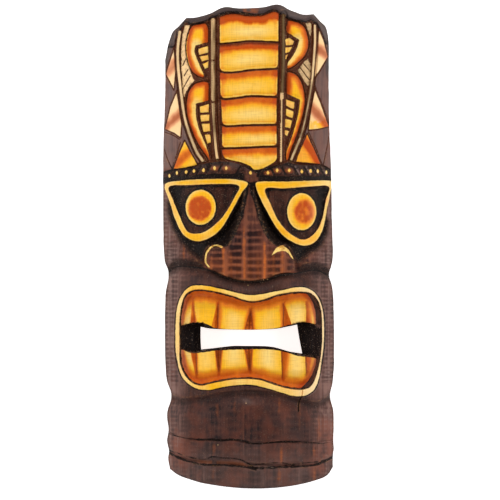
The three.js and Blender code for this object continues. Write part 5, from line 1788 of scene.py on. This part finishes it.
# Grey paler where it is faded or carries the painted sheen
greyed = g.mix(fields["faded"], greyed, tint(138, 122, 116))
colour = g.mix(g.times(fields["grey"], 0.85), brown["Color"], greyed)
colour = g.mix(g.times(fields["bright"], 0.5), colour, tint(176, 94, 48))
dark = g.times(fields["shade"], 0.95)
colour = g.mix(dark, colour, g.mix(g.times(grain["Fibres"], 0.5), tint(12, 6, 6), tint(46, 28, 24)))

ink = g.group(brushed_edge, distance=fields["ink"], waver=0.34, softness=0.35, seed=1.0)[0]
black = g.mix(g.times(grain["Fibres"], 0.4), tint(6, 3, 3), tint(36, 22, 20))
umber = g.mix(grain["Fibres"], tint(20, 5, 0), tint(98, 42, 12))
colour = g.mix(g.times(ink, 0.96), colour, g.mix(fields["umber"], black, umber))
# Painted glints: pale specks over the black and the shaded parts, where a varnish would catch the light
painted_glint = g.ramp(g.noise(grain["Place"], 1050, 1), 0.67, 0.73, 0.0, 0.7)
colour = g.mix(g.times(painted_glint, g.math("MAXIMUM", ink, dark)), colour, tint(150, 128, 112))
print("stain and black:", len(g.tree.nodes), "nodes")

# %% [markdown]
# The same airbrush group colours both paints, first with paler colours of its own. The yellow shows a faint
# weave, as if it had been dabbed on with a cloth.

# %% Pale and yellow paint
blown = {"glow": fields["glow"], "amount": fields["orange"], "deep": fields["red"]}
pale = g.group(brushed_edge, distance=fields["pale"], waver=0.3, softness=0.28, seed=2.0)[0]
pale_paint = g.group(airbrush, base=tint(250, 206, 148), cream=tint(255, 224, 170),
                     amber=tint(222, 150, 104), orange=tint(182, 100, 62), red=tint(120, 62, 44), **blown)[0]
colour = g.mix(pale, colour, g.mix(fields["shade"], pale_paint, tint(68, 44, 18)))

yellow = g.group(brushed_edge, distance=fields["yellow"], waver=0.5, softness=0.24, seed=3.0)[0]
level, upright = (g.noise(grain["Place"], weave) for weave in ((60, 1000, 200), (1000, 60, 200)))
canvas = g.math("ADD", level, upright)
brushed = g.mix(g.ramp(canvas, 0.8, 1.3, 0.0, 0.22), g.group(airbrush, **blown)[0], tint(176, 104, 30))
# Yellow paler where it is faded or carries the painted sheen
brushed = g.mix(g.times(fields["faded"], 0.6), brushed, tint(244, 218, 180))
colour = g.mix(yellow, colour, brushed)
print("with paint:", len(g.tree.nodes), "nodes")

# %% [markdown]
# Wear comes last, over stain and paint alike. The varnish is smoother on paint, and rougher where bare wood
# shows.

# %% Wear and varnish
paint_cover = g.math("MAXIMUM", pale, yellow)
worn = g.group(wear, color=colour, ridge=fields["ridge"], hollow=fields["hollow"], rubbed=0.3, dusty=0.2,
               wood=tint(190, 134, 88), dust=tint(112, 92, 80))
g.feed(shader.inputs["Base Color"], worn["Color"])
rough = g.times(grain["Fibres"], 0.16, g.ramp(paint_cover, 0.0, 1.0, 0.58, 0.54))
rough = g.times(worn["Bare"], 0.2, rough)
g.feed(shader.inputs["Roughness"], g.times(ink, -0.06, rough))
relief = g.times(grain["Fibres"], 0.5, g.times(grain["Pores"], -0.35))
relief = g.times(canvas, 0.3, g.times(paint_cover, 0.35, relief))
g.feed(shader.inputs["Normal"], g.bump(relief, 0.4, 0.2 * MM))
print("painted material:", len(g.tree.nodes), "nodes")

# %% [markdown]
# ## The back
# Nobody sees the back of a hanging mask, so it only gets a thin brown wash over sawn and gouged wood: the
# grain shows through, the flat rim is rubbed lighter, and there is no varnish.

# %% Back material
washed, g, shader = principled("washed_back_wood", 0.0, 0.5)
grain = g.group(wood_grain)
brown = g.group(stain, dark=tint(66, 42, 30), middle=tint(122, 84, 58), light=tint(166, 126, 90),
                ruddy=tint(140, 94, 62), warm=tint(180, 120, 70),
                cut=g.times(grain["Rings"], 0.6), bright=0.25, fibres=grain["Fibres"])
saw = g.noise(grain["Place"], (14, 460, 60))
sawn = g.mix(g.ramp(saw, 0.45, 0.7, 0.0, 0.35), brown["Color"], tint(178, 142, 104))
worn = g.group(wear, color=sawn, ridge=0.25, hollow=0.3, rubbed=0.4, dusty=0.35)
g.feed(shader.inputs["Base Color"], worn["Color"])
g.feed(shader.inputs["Roughness"], g.times(grain["Fibres"], 0.2, 0.66))
g.feed(shader.inputs["Normal"], g.bump(g.times(saw, 0.8, g.times(grain["Fibres"], 0.7)), 0.5, 0.6 * MM))
for material in (painted, washed):
    mesh.materials.append(material)
print("back material:", len(g.tree.nodes), "nodes")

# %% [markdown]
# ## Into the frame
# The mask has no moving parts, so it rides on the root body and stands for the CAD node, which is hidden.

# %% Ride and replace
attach(mask, "root")
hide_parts("tiki_mask")

# %% [markdown]
# ## Floor, light and camera
# The mask lies on its back on a pale floor, and the camera looks straight down on it from far away, which
# gives the flat, undistorted view of a catalogue picture. Four large soft lamps, one beyond each side,
# leave hardly any shadow on the floor and put a soft sheen on the round sides. The floor glows a little, so
# it comes out as white paper.

# %% Pale floor
FLOOR_DROP, FLOOR_SIZE = 0.0004, 8
WHITE = (1, 1, 1, 1)
bpy.ops.mesh.primitive_plane_add(size=FLOOR_SIZE, location=(0, 0, -FLOOR_DROP))
floor = bpy.context.object
floor.name = "pale_floor"
paper, g, shader = principled("pale_floor", 0.0, 0.5)
g.feed(shader.inputs["Base Color"], g.mix(g.noise(g.place(), 4), tint(243, 243, 242), tint(249, 249, 248)))
set_inputs(shader, {"Roughness": 0.85, "Emission Color": WHITE, "Emission Strength": 0.8})
floor.data.materials.append(paper)
print("floor laid")

# %% [markdown]
# Large lamps give soft light, and the top one is strongest, as in the picture. A dim white world fills the
# rest.

# %% Soft studio light
LAMP_SIZE, WORLD_STRENGTH, MASK_MIDDLE = 1.5, 0.18, 0.03
LAMPS = {
    "lamp_left": ((-2.3, 0.3, 1.45), 32),
    "lamp_right": ((2.3, 0.3, 1.45), 32),
    "lamp_top": ((0.0, 2.5, 1.7), 46),
    "lamp_foot": ((0.0, -2.5, 1.7), 26),
}


def add_object(name, data, place):
    made = bpy.data.objects.new(name, data)
    bpy.context.scene.collection.objects.link(made)
    made.location = place
    return made


for name, (place, power) in LAMPS.items():
    data = bpy.data.lights.new(name, "AREA")
    data.size, data.energy = LAMP_SIZE, power
    towards_mask = Vector((0, 0, MASK_MIDDLE)) - Vector(place)
    add_object(name, data, place).rotation_euler = towards_mask.to_track_quat("-Z", "Y").to_euler()
world = bpy.data.worlds.new("studio")
bpy.context.scene.world = world
world.use_nodes = True
set_inputs(world.node_tree.nodes["Background"], {"Color": WHITE, "Strength": WORLD_STRENGTH})
bpy.context.scene.view_settings.view_transform = "Standard"

# %% [markdown]
# The picture's scale is known in millimetres for each pixel, so the lens follows from it and from the
# distance.

# %% Camera
MM_PER_PIXEL, PICTURE_SIDE = 1.034, 500
PICTURE_MIDDLE = (1.5, -4.1)
CAMERA_DISTANCE, CAMERA_REACH = 12.0, 20
SENSOR = 36.0
data = bpy.data.cameras.new("camera")
data.sensor_width = SENSOR
data.lens = SENSOR * (CAMERA_DISTANCE - MASK_MIDDLE) / (MM_PER_PIXEL * PICTURE_SIDE * MM)
data.clip_end = CAMERA_REACH
aim = (np.array(PICTURE_MIDDLE) + to_frame) * MM
bpy.context.scene.camera = add_object("camera", data, (aim[0], aim[1], CAMERA_DISTANCE))
print("camera lens in mm:", round(data.lens))
